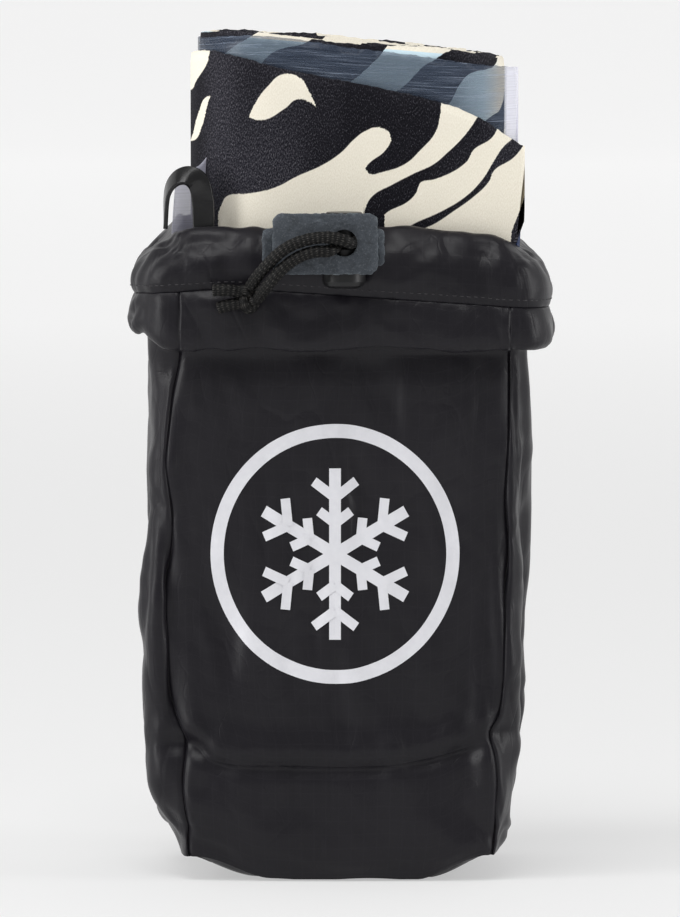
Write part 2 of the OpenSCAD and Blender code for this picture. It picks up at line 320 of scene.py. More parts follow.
def tube(name, path, radius, around, close=False):
    """A tube along path; radius is a number or a function of (run, angle)."""
    u, v = normals_along(path)
    run = run_along(path)
    angle = np.linspace(0, 2 * math.pi, around, endpoint=False)
    if callable(radius):
        r = radius(run[:, None], angle[None, :])
    else:
        r = np.full((len(path), around), radius)
    rings = path[:, None, :] + r[..., None] * (np.cos(angle)[None, :, None] * u[:, None, :]
                                               + np.sin(angle)[None, :, None] * v[:, None, :])
    points = rings.reshape(-1, 3)
    faces = [f[::-1] for f in grid_faces(len(path), around, wrap=True)]
    uv = np.stack([np.broadcast_to(angle * 2.2, r.shape).ravel(),
                   np.broadcast_to(run[:, None], r.shape).ravel()], axis=1)
    if close:
        last = (len(path) - 1) * around
        faces += [(last + (c + 1) % around, last + c, c, (c + 1) % around) for c in range(around)]
    else:
        points = np.vstack([points, path[0], path[-1]])
        uv = np.vstack([uv, uv[0], uv[-1]])
        first, end, last = len(points) - 2, len(points) - 1, (len(path) - 1) * around
        faces += [(first, c, (c + 1) % around) for c in range(around)]
        faces += [(end, last + (c + 1) % around, last + c) for c in range(around)]
    return mesh_object(name, points, faces, uv)


# ---- Materials ----


class Shader:
    """A Principled material with short helpers for its procedural nodes."""

    def __init__(self, name, roughness, **fixed):
        self.mat = bpy.data.materials.new(name)
        self.mat.use_nodes = True
        self.tree = self.mat.node_tree
        self.bsdf = self.tree.nodes["Principled BSDF"]
        self.bsdf.inputs["Roughness"].default_value = roughness
        for key, value in fixed.items():
            self.bsdf.inputs[key.replace("_", " ")].default_value = value
        coords = self.tree.nodes.new("ShaderNodeTexCoord")
        self.uv, self.place = coords.outputs["UV"], coords.outputs["Object"]

    def link(self, a, b):
        self.tree.links.new(a, b)

    def put(self, socket, value):
        if isinstance(value, (int, float, tuple)):
            socket.default_value = value
        else:
            self.link(value, socket)

    def math(self, how, a, b=0.0, c=0.0):
        node = self.tree.nodes.new("ShaderNodeMath")
        node.operation = how
        for socket, value in zip(node.inputs, (a, b, c)):
            self.put(socket, value)
        return node.outputs[0]

    def times(self, a, b):
        return self.math("MULTIPLY", a, b)

    def minus(self, a, b):
        return self.math("SUBTRACT", a, b)

    def add(self, kind, **values):
        """A new node, with its inputs set or linked by name."""
        node = self.tree.nodes.new("ShaderNode" + kind)
        for key, value in values.items():
            self.put(node.inputs[key], value)
        return node

    def scaled(self, vector, scale, turn=0.0):
        return self.add("Mapping", Vector=vector, Scale=scale, Rotation=(0, 0, turn)).outputs[0]

    def noise(self, vector, scale, detail, rough=0.5, distort=0.0):
        node = self.add("TexNoise", Vector=vector, Scale=scale, Detail=detail, Roughness=rough)
        node.inputs["Distortion"].default_value = distort
        return node.outputs[0]

    def wave(self, vector, scale, distort=0.0, detail=2.0, along="X"):
        node = self.add("TexWave", Vector=vector, Scale=scale, Distortion=distort, Detail=detail)
        node.bands_direction = along
        return node.outputs["Fac"]

    def ramp(self, value, *stops, hold="LINEAR"):
        node = self.add("ValToRGB", Fac=value)
        node.color_ramp.interpolation = hold
        while len(node.color_ramp.elements) < len(stops):
            node.color_ramp.elements.new(0.5)
        for element, (place, colour) in zip(node.color_ramp.elements, stops):
            element.position = place
            element.color = (*colour, 1) if isinstance(colour, tuple) else (colour, colour, colour, 1)
        return node.outputs["Color"]

    def part(self, vector, axis):
        return self.add("SeparateXYZ", Vector=vector).outputs[axis]

    def clamp(self, value):
        return self.add("Clamp", Value=value).outputs[0]

    def above(self, a, b, soft):
        """1 where a is over b, 0 where it is under, with an edge as wide as soft."""
        return self.clamp(self.math("MULTIPLY_ADD", self.minus(a, b), 1.0 / soft, 0.5))

    def curve(self, value, points, x_span, y_span):
        """A smooth curve through points, of a value in x_span."""
        node = self.tree.nodes.new("ShaderNodeFloatCurve")
        line = node.mapping.curves[0]
        wide, tall = x_span[1] - x_span[0], y_span[1] - y_span[0]
        for k, (x, y) in enumerate(points):
            spot = ((x - x_span[0]) / wide, (y - y_span[0]) / tall)
            if k < 2:
                line.points[k].location = spot
            else:
                line.points.new(*spot)
        node.mapping.update()
        grow = 1.0 / wide
        self.link(self.math("MULTIPLY_ADD", value, grow, -x_span[0] * grow), node.inputs["Value"])
        return self.math("MULTIPLY_ADD", node.outputs[0], tall, y_span[0])

    def mix(self, fac, a, b):
        node = self.tree.nodes.new("ShaderNodeMix")
        node.data_type = "RGBA"
        self.put(node.inputs["Factor"], fac)
        self.put(node.inputs[6], (*a, 1) if isinstance(a, tuple) else a)
        self.put(node.inputs[7], (*b, 1) if isinstance(b, tuple) else b)
        return node.outputs[2]

    def colour(self, value):
        self.put(self.bsdf.inputs["Base Color"], (*value, 1) if isinstance(value, tuple) else value)

    def bump(self, height, distance, strength):
        node = self.add("Bump", Strength=strength, Distance=distance * MM, Height=height)
        if self.bsdf.inputs["Normal"].is_linked:
            self.link(self.bsdf.inputs["Normal"].links[0].from_socket, node.inputs["Normal"])
        self.link(node.outputs[0], self.bsdf.inputs["Normal"])


# Height of the creased edge across the foot of the front, against x
FOOT_LINE = [(-60, 52), (-52, 49), (-46, 43.6), (-40, 42.2), (-20, 41.6), (12, 41.4), (30, 43.6), (44, 47.2),
             (60, 52)]


def nylon_material():
    s = Shader("ripstop_nylon", 0.38, Specular_IOR_Level=0.24, Sheen_Weight=0.03, Sheen_Roughness=0.4)
    tone = s.ramp(s.noise(s.place, 22, 3), (0.35, 0.0), (0.65, 1.0))
    yarn = s.noise(s.scaled(s.uv, (400, 12, 1)), 1.0, 2)
    base = s.mix(tone, (0.0058, 0.0051, 0.0076), (0.0084, 0.0074, 0.0104))
    thread = (0.03, 0.028, 0.033)
    base = s.mix(s.times(yarn, 0.12), base, thread)
    # A ripstop line every 5 mm each way
    lines = []
    for axis in (0, 1):
        phase = s.math("FRACT", s.times(s.part(s.uv, axis), 20.0))
        near = s.math("ABSOLUTE", s.minus(phase, 0.5))
        lines.append(s.ramp(near, (0.0, 1.0), (0.06, 0.0)))
    grid = s.math("MAXIMUM", lines[0], lines[1])
    s.colour(s.mix(s.times(grid, 0.12), base, thread))
    weave = s.times(s.wave(s.uv, 90), s.wave(s.uv, 90, along="Y"))
    s.bump(weave, 0.03, 0.35)
    s.bump(grid, 0.04, 0.4)
    s.bump(s.noise(s.place, 130, 4, 0.55), 0.3, 0.2)
    # Thin sharp crinkles
    for size, deep in ((30, 0.6), (80, 0.25)):
        bent = s.noise(s.scaled(s.place, (1, 1, 0.5)), size, 2, 0.4, 0.6)
        ridge = s.ramp(s.math("ABSOLUTE", s.minus(bent, 0.5)), (0.0, 0.0), (0.03, 0.8), (0.3, 1.0))
        s.bump(ridge, deep, 0.25)
    # The creased edge across the foot of the front, where the cloth steps out over the crease
    foot = [(x * MM, z * MM) for x, z in FOOT_LINE]
    line = s.curve(s.part(s.place, 0), foot, (-60 * MM, 60 * MM), (30 * MM, 60 * MM))
    over = s.minus(s.part(s.place, 2), line)
    front = s.above(-28 * MM, s.part(s.place, 1), 6 * MM)
    reach = s.above(50 * MM, s.math("ABSOLUTE", s.part(s.place, 0)), 8 * MM)
    s.bump(s.times(s.times(s.above(over, 0.0, 1.2 * MM), reach), front), 0.6, 0.7)
    return s.mat


def print_material():
    s = Shader("screen_print", 0.48)
    s.colour(s.mix(s.noise(s.place, 400, 4), (0.66, 0.66, 0.70), (0.76, 0.76, 0.79)))
    s.bump(s.noise(s.place, 900, 3), 0.05, 0.5)
    s.bump(s.noise(s.place, 130, 4, 0.55), 0.4, 0.2)
    return s.mat


CORD_D = 4.4
# The braid: so many yarns each way round, and so far along the cord before its pattern repeats
YARNS = 8
YARN_PITCH = 3.4
CORD_STEP = 0.32


def cord_material():
    s = Shader("braided_cord", 0.55, Specular_IOR_Level=0.2)
    # The yarns of braid(): the uv holds CORD_D / 2 for each radian, and the run, both in decimetres
    around = s.times(s.part(s.uv, 0), YARNS * 100 / (CORD_D / 2))
    along = s.times(s.part(s.uv, 1), 2 * math.pi * 100 / YARN_PITCH)
    left = s.math("SINE", s.math("ADD", around, along))
    right = s.math("SINE", s.minus(around, along))
    plait = s.times(left, right)
    fibre = s.noise(s.place, 2600, 2)
    tone = s.math("ADD", s.times(plait, 0.5), s.times(fibre, 0.9))
    # Where the plait pattern is high the colour is painted light, as highlights on the yarn crests, and where
    # it is low it is painted dark, as shade in the hollows; fine fibre noise breaks this up.
    s.colour(s.ramp(tone, (0.35, (0.002, 0.002, 0.002)), (0.64, (0.006, 0.0056, 0.0054)),
                    (0.95, (0.05, 0.047, 0.043))))
    s.bump(tone, 0.2, 0.6)
    return s.mat


def suede_material():
    s = Shader("suede", 0.85, Sheen_Weight=0.35, Sheen_Roughness=0.5, Sheen_Tint=(0.65, 0.78, 0.85, 1))
    mottle = s.noise(s.place, 260, 5, 0.6)
    nap = s.noise(s.place, 1500, 4, 0.65)
    base = s.ramp(mottle, (0.3, (0.024, 0.029, 0.036)), (0.55, (0.04, 0.047, 0.058)),
                  (0.75, (0.065, 0.076, 0.09)))
    s.colour(s.mix(s.ramp(nap, (0.52, 0.0), (0.72, 0.6)), base, (0.13, 0.145, 0.16)))
    s.bump(nap, 0.35, 0.8)
    s.bump(mottle, 0.4, 0.5)
    return s.mat


def lock_material():
    s = Shader("lock_moulding", 0.36, Specular_IOR_Level=0.35)
    s.colour(s.mix(s.noise(s.place, 300, 3), (0.005, 0.005, 0.0055), (0.01, 0.01, 0.011)))
    s.bump(s.noise(s.place, 1200, 3), 0.04, 0.4)
    return s.mat


def metal_material(name, tone, rough):
    s = Shader(name, rough, Metallic=1.0)
    scratch = s.noise(s.scaled(s.place, (900, 900, 120)), 1.0, 3)
    s.colour(s.mix(scratch, (tone * 0.85,) * 3, (tone, tone, tone * 1.01)))
    s.bump(scratch, 0.03, 0.4)
    return s.mat


def strap_material():
    s = Shader("urethane_strap", 0.25, Specular_IOR_Level=0.4)
    s.colour(s.mix(s.noise(s.place, 500, 3), (0.004, 0.004, 0.0045), (0.009, 0.009, 0.0095)))
    s.bump(s.noise(s.place, 700, 3), 0.08, 0.35)
    return s.mat


def tab_material():
    s = Shader("coated_webbing", 0.6)
    s.colour(s.mix(s.noise(s.place, 700, 3), (0.014, 0.014, 0.015), (0.03, 0.03, 0.031)))
    s.bump(s.wave(s.place, 260, along="Z"), 0.2, 0.6)
    return s.mat


STROKE_TURN = math.radians(-56)
# Brush strokes on the upper skin's outermost turn: the top and the bottom edge of each, as points in x and z
STROKES = [
    ([(-44, 241), (-43, 243.5), (-40.5, 247.5), (-33, 248.5), (-24, 250.5), (-15, 255), (-7, 258.5), (0, 263),
      (5, 268), (9, 271), (13.5, 272.4), (17, 271), (18.4, 268)],
     [(-44, 225), (7, 226), (8.5, 240), (9, 257.5), (11, 260), (15.5, 263.3), (18.4, 267.5)]),
    ([(8, 255), (9, 257.3), (10.7, 255.6), (15.5, 256.4), (23, 259), (29, 264.3), (34.4, 270.7), (36, 277),
      (37, 290), (38, 305), (51, 305)],
     [(8, 225), (9, 243), (12, 248), (18.6, 251.7), (27, 256), (33.4, 259), (38.6, 263.3), (44, 268.6),
      (49, 275.4), (51, 279)]),
    ([(16, 241), (17.5, 242.2), (24, 245.4), (27.5, 249), (29, 252.6), (34.4, 253.8), (45.5, 260),
      (48, 264.3), (54.5, 268.6), (57, 273.5), (58, 290), (64, 290)],
     [(16, 225), (24, 236), (26, 237.4), (36.5, 242.2), (45, 247.4), (51.3, 253.8), (54.5, 259),
      (58.7, 265.4), (62.4, 269), (64, 275)]),
    ([(30, 236), (33.4, 237.4), (40.8, 242.2), (48, 247.4), (53.4, 252.7), (55.5, 257), (62, 261.2),
      (65.6, 265.4), (67, 268)],
     [(30, 222), (60, 222), (61.5, 234), (65, 243.4), (67, 250)]),
    ([(-58, 305), (-45, 305)],
     [(-58, 284), (-54, 285), (-52, 288.6), (-48, 295), (-46.8, 300), (-45, 308)]),
    ([(-56, 264), (-54, 267.5), (-51, 277.5), (-47.4, 283.2), (-46.4, 283)],
     [(-56, 266), (-54, 266.5), (-52.6, 267), (-50, 272), (-47.4, 281.5), (-46.4, 284)]),
    ([(-33, 275), (-31, 280), (-26, 287), (-20, 291.5), (-15, 290.5), (-11, 285), (-8, 278)],
     [(-33, 276), (-28, 275), (-20, 279), (-15, 282.5), (-11, 281.5), (-8, 279)]),
]
STROKE_X = (-70, 80)
STROKE_Z = (215, 315)
# How soft the edge of a stroke is
STROKE_SOFT = 0.35


def drawn_strokes(s):
    """1 inside any of the strokes, which lie on the outermost turn of the upper skin."""
    ragged = s.minus(s.noise(s.place, 1400, 3), 0.5)
    x = s.math("MULTIPLY_ADD", s.part(s.place, 0), 1000.0, ragged)
    z = s.math("MULTIPLY_ADD", s.part(s.place, 2), 1000.0, s.times(ragged, 0.8))
    total = None
    for top, bottom in STROKES:
        under = s.above(s.curve(x, top, STROKE_X, STROKE_Z), z, STROKE_SOFT)
        over = s.above(z, s.curve(x, bottom, STROKE_X, STROKE_Z), STROKE_SOFT)
        inside = s.times(under, over)
        start, end = float(top[0][0]), float(top[-1][0])
        between = s.times(s.math("GREATER_THAN", x, start), s.math("LESS_THAN", x, end))
        inside = s.times(inside, between)
        total = inside if total is None else s.math("MAXIMUM", total, inside)
    return total


def stroke_mask(s):
    """Cream brush strokes on charcoal: bent diagonal bands, and the drawn ones where the skin shows most."""
    bent = s.add("VectorMath")
    bent.operation = "MULTIPLY_ADD"
    warp = s.add("TexNoise", Vector=s.scaled(s.uv, (2.4, 2.4, 1)), Scale=1.0, Detail=1.0)
    for socket, value in zip(bent.inputs, (warp.outputs["Color"], (0.34, 0.34, 0), s.uv)):
        s.put(socket, value)
    bands = s.wave(s.scaled(bent.outputs[0], (1, 1, 1), STROKE_TURN), 1.05, 1.6, 1.0)
    drift = s.noise(s.scaled(s.uv, (1.1, 0.7, 1)), 1.0, 1)
    level = s.math("ADD", bands, s.times(s.minus(drift, 0.5), 1.9))
    ragged = s.times(s.minus(s.noise(s.uv, 22, 3), 0.5), 0.12)
    general = s.ramp(s.math("ADD", level, ragged), (0.50, 0.0), (0.515, 1.0))
    # The outermost turn is the first 140 mm of the strip, and the rim hides what is under 225 mm
    outermost = s.math("LESS_THAN", s.part(s.uv, 0), 1.40)
    upper = s.math("GREATER_THAN", s.part(s.place, 2), 0.225)
    return s.mix(s.times(outermost, upper), general, drawn_strokes(s))


def plush_material():
    s = Shader("plush_strokes", 0.95, Specular_IOR_Level=0.08, Sheen_Weight=0.03, Sheen_Roughness=0.6)
    mask = stroke_mask(s)
    fibre = s.noise(s.scaled(s.uv, (75, 34, 1), math.radians(25)), 3.6, 4, 0.7)
    nap = s.noise(s.scaled(s.uv, (1.6, 0.5, 1)), 1.3, 2)
    dark = s.ramp(fibre, (0.42, (0.003, 0.003, 0.0045)), (0.58, (0.011, 0.0105, 0.015)),
                  (0.70, (0.13, 0.125, 0.145)))
    # Slow noise paints broad patches of the dark plush lighter: a painted sheen on the nap, a lighter copy of
    # the dark colour.
    painted_sheen = s.ramp(fibre, (0.38, (0.006, 0.006, 0.009)), (0.52, (0.035, 0.034, 0.045)),
                     (0.66, (0.2, 0.195, 0.22)))
    dark = s.mix(s.ramp(nap, (0.42, 0.0), (0.62, 0.6)), dark, painted_sheen)
    cream = s.ramp(fibre, (0.35, (0.79, 0.735, 0.61)), (0.65, (0.905, 0.86, 0.75)))
    # The turn behind the release film shows bluish through it, up to the film's sloping edge
    run = s.part(s.uv, 0)
    behind = s.times(s.above(run, 3.08, 0.12), s.math("LESS_THAN", run, 4.6))
    film_edge = s.math("MULTIPLY_ADD", s.part(s.place, 0), -0.084, 0.3018)
    behind = s.times(behind, s.math("LESS_THAN", s.part(s.place, 2), film_edge))
    cream = s.mix(behind, cream, (0.60, 0.76, 0.84))
    s.colour(s.mix(mask, dark, cream))
    s.bump(fibre, 0.25, 0.5)
    s.bump(s.noise(s.place, 90, 3), 0.6, 0.2)
    return s.mat


def glue_material():
    s = Shader("glue_film", 0.35)
    s.colour(s.mix(s.noise(s.place, 200, 3), (0.02, 0.05, 0.2), (0.03, 0.09, 0.32)))
    s.bump(s.noise(s.place, 500, 3), 0.05, 0.4)
    return s.mat


def liner_material(name, dark, mid, light, alphas):
    s = Shader(name, 0.32, Specular_IOR_Level=0.35)
    streak = s.noise(s.scaled(s.uv, (2.2, 95, 1)), 1.6, 5, 0.62)
    fine = s.noise(s.scaled(s.uv, (7, 260, 1)), 1.0, 3, 0.6)
    tone = s.math("ADD", s.times(streak, 0.6), s.times(fine, 0.4))
    # The last few millimetres at the free end stand clear of the turn behind, so the bright light behind
    # shows through them; that light is painted in as a pale colour.
    edge = s.above(0.045, s.part(s.uv, 0), 0.012)
    s.colour(s.mix(edge, s.ramp(tone, (0.40, dark), (0.54, mid), (0.68, light)), (0.74, 0.74, 0.86)))
    s.link(s.ramp(tone, (0.40, alphas[0]), (0.68, alphas[1])), s.bsdf.inputs["Alpha"])
    s.bump(fine, 0.05, 0.4)
    return s.mat


NYLON = nylon_material()
PRINT = print_material()
CORD = cord_material()
SUEDE = suede_material()
LOCK = lock_material()
SPRING = metal_material("spring_wire", 0.55, 0.3)
RIVET = metal_material("rivet_steel", 0.5, 0.35)
WIRE = metal_material("loop_wire", 0.6, 0.28)
STRAP = strap_material()
TAB = tab_material()
PLUSH = plush_material()
GLUE = glue_material()
LINER = liner_material("release_film", (0.04, 0.058, 0.095), (0.085, 0.112, 0.165), (0.36, 0.42, 0.52),
                       (0.34, 0.52))
# The clear film is painted nearly white: its own faint lavender tint, brightened as painted light for the
# light behind that shows through it.
CLEAR_LINER = liner_material("clear_film", (0.7, 0.7, 0.82), (0.78, 0.78, 0.88), (0.86, 0.86, 0.93),
                             (0.5, 0.7))


def wear(obj, mat):
    obj.data.materials.clear()
    obj.data.materials.append(mat)


def finish_piece(obj, mat, body, slot, *nodes):
    wear(obj, mat)
    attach(obj, body)
    if nodes:
        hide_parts(*nodes)


# ---- Drawcord: two free strands, their knot, and the stretch held in the channel ----

UPPER_ROUTE = [
    (3.8, -66, 232.5), (3.6, -68.4, 232.8), (1.6, -70.6, 233.8), (-3, -71.4, 234.8),
    (-9, -71.4, 234.6), (-15, -71, 233), (-20, -70.4, 230.4), (-24, -69, 226.8),
    (-27.4, -66, 223), (-30, -61.4, 219.6), (-31.6, -57, 217),
]
LOWER_ROUTE = [
    (-1, -66, 232.5), (-2, -68, 230.9), (-4.2, -70.2, 230), (-8.4, -70.8, 229.8),
    (-13, -70.4, 228.6), (-17.6, -69.6, 226), (-21.8, -69, 222.2), (-24.8, -66.8, 218.6),
    (-27.4, -62, 215.2), (-29, -57, 212.4),
]
KNOT_C = np.array([-32.4, -53.0, 212.4])


def braid(radius):
    """The height of a braided sleeve: two sets of yarns that pass over and under each other."""
    def height(run, angle):
        a = YARNS * angle / (2 * math.pi) + run / YARN_PITCH
        b = YARNS * angle / (2 * math.pi) - run / YARN_PITCH
        over = (np.floor(a) + np.floor(b)) % 2 < 1
        yarn = np.where(over, np.sin(math.pi * (a % 1)), np.sin(math.pi * (b % 1)))
        return radius - 0.5 + 0.5 * yarn**0.7
    return height


def make_cord(name, route, node):
    path, length = resample(route, CORD_STEP)
    obj = tube(name, path, braid(CORD_D / 2), around=40)
    finish_piece(obj, CORD, "sack", "cord", node)
    return obj, path, length


upper_strand, upper_path, upper_length = make_cord("cord_upper", UPPER_ROUTE, "cord_strand_upper")
lower_strand, lower_path, lower_length = make_cord("cord_lower", LOWER_ROUTE, "cord_strand_lower")


def make_knot():
    """A tight overhand knot of both strands, with two short sealed ends."""
    t = np.linspace(0, 2 * math.pi, 160, endpoint=False)
    loop = np.stack([np.sin(t) + 2 * np.sin(2 * t), -0.95 * np.sin(3 * t), np.cos(t) - 2 * np.cos(2 * t)],
                    axis=1)
    loop = loop * 1.25 + KNOT_C
    path, _ = resample(np.vstack([loop, loop[:1]]), CORD_STEP)
    knot = tube("cord_knot_lump", path[:-1], braid(2.15), around=32, close=True)
    finish_piece(knot, CORD, "sack", "cord", "cord_knot")
    ends = []
    spans = [((-35, -53.6, 214.4), (-45.3, -54, 215.0)), ((-35, -53, 210.4), (-43.6, -52.9, 208.6))]
    for k, (a, b) in enumerate(spans):
        path, _ = resample([a, ((a[0] + b[0]) / 2, b[1] - 0.5, (a[2] + b[2]) / 2 + 0.4), b], CORD_STEP)
        end = tube(f"cord_end_{k}", path, braid(CORD_D / 2), around=32)
        finish_piece(end, CORD, "sack", "cord")
        ends.append(end)
    return knot, ends


knot, cord_ends = make_knot()

# ---- Sack: outlines of the body as functions of height ----

LEFT_EDGE = curve_of([(0, -54), (10, -58.5), (22, -64), (34, -69), (44, -71.5), (60, -73), (90, -72),
                      (115, -70), (145, -68.5), (165, -69.5), (182, -68), (197, -70)])
RIGHT_EDGE = curve_of([(0, 53), (10, 58), (24, 63.5), (38, 66), (50, 67.5), (70, 67.2), (100, 66.8),
                       (130, 66.8), (150, 66.8), (170, 67), (192, 67.5)])
LEFT_SEAM = curve_of([(0, -53), (10, -55.5), (35, -57), (44, -56.5), (50, -55), (60, -60), (69, -61.5),
                      (96, -63), (114, -62), (133, -60.5), (152, -63.5), (178, -60), (193, -57)], 3)
RIGHT_SEAM = curve_of([(0, 53), (12, 56.5), (35, 58), (44, 58), (54, 55.5), (62, 59.5), (73, 60),
                       (96, 61), (117, 61), (139, 60), (162, 61), (193, 61)], 3)
FACE_Y = curve_of([(0, 35), (8, 37.5), (22, 39), (45, 39.4), (60, 38.6), (100, 39.4), (150, 39.4),
                   (192, 38.4)])
# The rounded corner between a face and a gusset: how deep, and how much of the gusset's columns it takes
CORNER_DEEP = 11.0
CORNER_PART = 0.22

FRONT_COLS = 64
SIDE_COLS = 44
BODY_ROWS = 72


def bottom_height(x):
    return 0.5 + 8.5 * smoothstep(30, 58, np.abs(x)) + 0.35 * np.sin(np.asarray(x) / 7)


def section(height, grow=0.0):
    """The closed outline of the sack at a height, as columns: front, right side, back, left side.

    Height may differ from column to column. Grow moves the outline outwards.
    """
    z = np.broadcast_to(height, (2 * FRONT_COLS + 2 * SIDE_COLS,)).astype(float)
    grow = np.broadcast_to(grow, z.shape)
    out = np.zeros((len(z), 3))
    face, side = FRONT_COLS, SIDE_COLS
    marks = np.cumsum([0, face, side, face, side]).tolist()
    spans = list(zip(marks, marks[1:]))
    for part, (a, b) in enumerate(spans):
        h, g = z[a:b], grow[a:b]
        left, right = LEFT_SEAM(h), RIGHT_SEAM(h)
        deep = FACE_Y(h)
        t = np.linspace(0, 1, b - a, endpoint=False)
        if part in (0, 2):
            way = t if part == 0 else 1 - t
            x = left + (right - left) * way
            y = (deep + g + 0.8 * np.sin(math.pi * way)) * (-1 if part == 0 else 1)
        else:
            seam = right if part == 1 else left
            edge = RIGHT_EDGE(h) if part == 1 else LEFT_EDGE(h)
            way = t if part == 1 else 1 - t
            corner_a = smooth_corner(np.clip(way / CORNER_PART, 0, 1))
            corner_b = smooth_corner(np.clip((1 - way) / CORNER_PART, 0, 1))
            sign = 1 if part == 1 else -1
            wide = sign * (edge - seam) + g
            x = seam + sign * wide * np.minimum(corner_a[0], corner_b[0])
            y_front = -(deep + g) + (CORNER_DEEP + g) * corner_a[1]
            y_back = (deep + g) - (CORNER_DEEP + g) * corner_b[1]
            mid = np.clip((way - CORNER_PART) / (1 - 2 * CORNER_PART), 0, 1)
            y = np.where(way > 1 - CORNER_PART, y_back, y_front + (y_back - y_front) * mid)
            y = np.where(way < CORNER_PART, y_front, y)
            x = x - sign * 1.6 * np.sin(math.pi * mid) * smoothstep(200, 170, h)
        out[a:b] = np.stack([x, y, h], axis=1)
    return out, spans


def smooth_corner(t):
    """How far round a quarter turn: sideways and inwards, both from 0 to 1."""
    return np.sin(t * math.pi / 2), 1 - np.cos(t * math.pi / 2)


probe, SPANS = section(100.0)
COLS = len(probe)
column_x = probe[:, 0]


def body_rows():
    low = bottom_height(np.clip(column_x, -60, 60))
    rows = []
    for k in range(BODY_ROWS):
        t = k / (BODY_ROWS - 1)
        rows.append(section(low + (BODY_TOP - low) * t)[0])
    return np.array(rows)


def stadium(x0, x1, half_d, low, high):
    """A closed upright prism with round ends, for the cloth to lie on."""
    ring = []
    for x, inset, start in ((x1, half_d, -90), (x0, -half_d, 90)):
        for a in np.radians(range(start, start + 181, 15)):
            ring.append((x + half_d * math.cos(a) - inset, half_d * math.sin(a)))
    levels = np.linspace(low, high, 12)
    n = len(ring)
    points = [(x, y, z) for z in levels for x, y in ring]
    last = (len(levels) - 1) * n
    faces = grid_faces(len(levels), n, wrap=True) + [tuple(range(n))[::-1], tuple(range(last, last + n))]
    return points, faces


# The cloth simulation runs ten times as large as the part. The rolls' prism: x from and to, half depth,
# z from and to. Frames is how long the cloth settles, and no point moves further than the cap.
SIM_SCALE = 10.0
SIM_ROLLS = (-54, 61, 34, 3, 230)
SIM_GAP = 0.012
SIM_FRAMES = 26
SIM_CAP = 2.6


def drape(points, faces, pins, loose, slack):
    """Lets slack cloth settle round the rolls, held at its pins, and returns where it comes to rest.

    Loose says how much of the slack each point gets.
    """
    scene = bpy.context.scene
    cloth = mesh_object("sim_cloth", np.asarray(points) * SIM_SCALE, faces)
    for name, weights in (("pins", pins), ("loose", loose)):
        group = cloth.vertex_groups.new(name=name)
        for i, w in enumerate(weights):
            if w > 0:
                group.add([i], float(w), "REPLACE")
    prism, prism_faces = stadium(*SIM_ROLLS)
    solid = mesh_object("sim_rolls", np.asarray(prism) * SIM_SCALE, prism_faces)
    solid.modifiers.new("solid", "COLLISION")
    solid.collision.thickness_outer = SIM_GAP
    solid.collision.cloth_friction = 4
    mod = cloth.modifiers.new("cloth", "CLOTH")
    s = mod.settings
    s.quality = 6
    s.mass = 0.12
    s.tension_stiffness = s.compression_stiffness = 28
    s.shear_stiffness = 12
    s.bending_stiffness = 0.55
    s.air_damping = 2
    s.vertex_group_mass = "pins"
    s.vertex_group_shrink = "loose"
    s.shrink_min = 0.0
    s.shrink_max = -slack
    mod.collision_settings.distance_min = SIM_GAP
    mod.collision_settings.collision_quality = 3
    mod.point_cache.frame_start = 1
    mod.point_cache.frame_end = SIM_FRAMES
    scene.frame_start, scene.frame_end = 1, SIM_FRAMES
    for f in range(1, SIM_FRAMES + 1):
        scene.frame_set(f)
    graph = bpy.context.evaluated_depsgraph_get()
    result = cloth.evaluated_get(graph).data
    flat = np.zeros(len(result.vertices) * 3)
    result.vertices.foreach_get("co", flat)
    rest = flat.reshape(-1, 3) / MM / SIM_SCALE
    for obj in (cloth, solid):
        bpy.data.objects.remove(obj)
    scene.frame_set(1)
    move = rest - points
    far = np.linalg.norm(move, axis=1)[:, None]
    return points + move * np.minimum(1, SIM_CAP / np.maximum(far, 1e-6))


def outward(points, faces):
    """A unit normal for each point of a mesh."""
    mesh = bpy.data.meshes.new("probe")
    mesh.from_pydata([tuple(p) for p in points], [], faces)
    normals = np.array([v.normal[:] for v in mesh.vertices])
    bpy.data.meshes.remove(mesh)
    return normals


def arc_lengths(ring):
    return run_along(np.vstack([ring, ring[:1]]))


def make_body():
    rows = body_rows()
    start = rows.reshape(-1, 3)
    faces = grid_faces(BODY_ROWS, COLS, wrap=True)
    pins = np.zeros((BODY_ROWS, COLS))
    pins[-1] = pins[0] = 1
    pins[-2] = pins[1] = 0.6
    points = start.copy()
    jitter = Waves(26, stretch=(1, 1, 1.6))(start)[:, None] * outward(start, faces) * 0.8
    at_side = smoothstep(56, 62, np.abs(start[:, 0]))
    loose = np.clip(0.3 + at_side + 0.5 * smoothstep(90, 30, start[:, 2]), 0, 1)
    points = drape(start + jitter * (1 - pins.reshape(-1, 1)), faces, pins.ravel(), loose, 0.03)
    return points.reshape(BODY_ROWS, COLS, 3), faces


body, body_faces = make_body()

# Below the crease across the front, the cloth is pressed in along a line
CREASE_Z = curve_of(FOOT_LINE, 3)

body_facets = Facets(38, 6, (1, 1, 2.2))
body_fine = Facets(14, 7, (1, 1, 1.5))


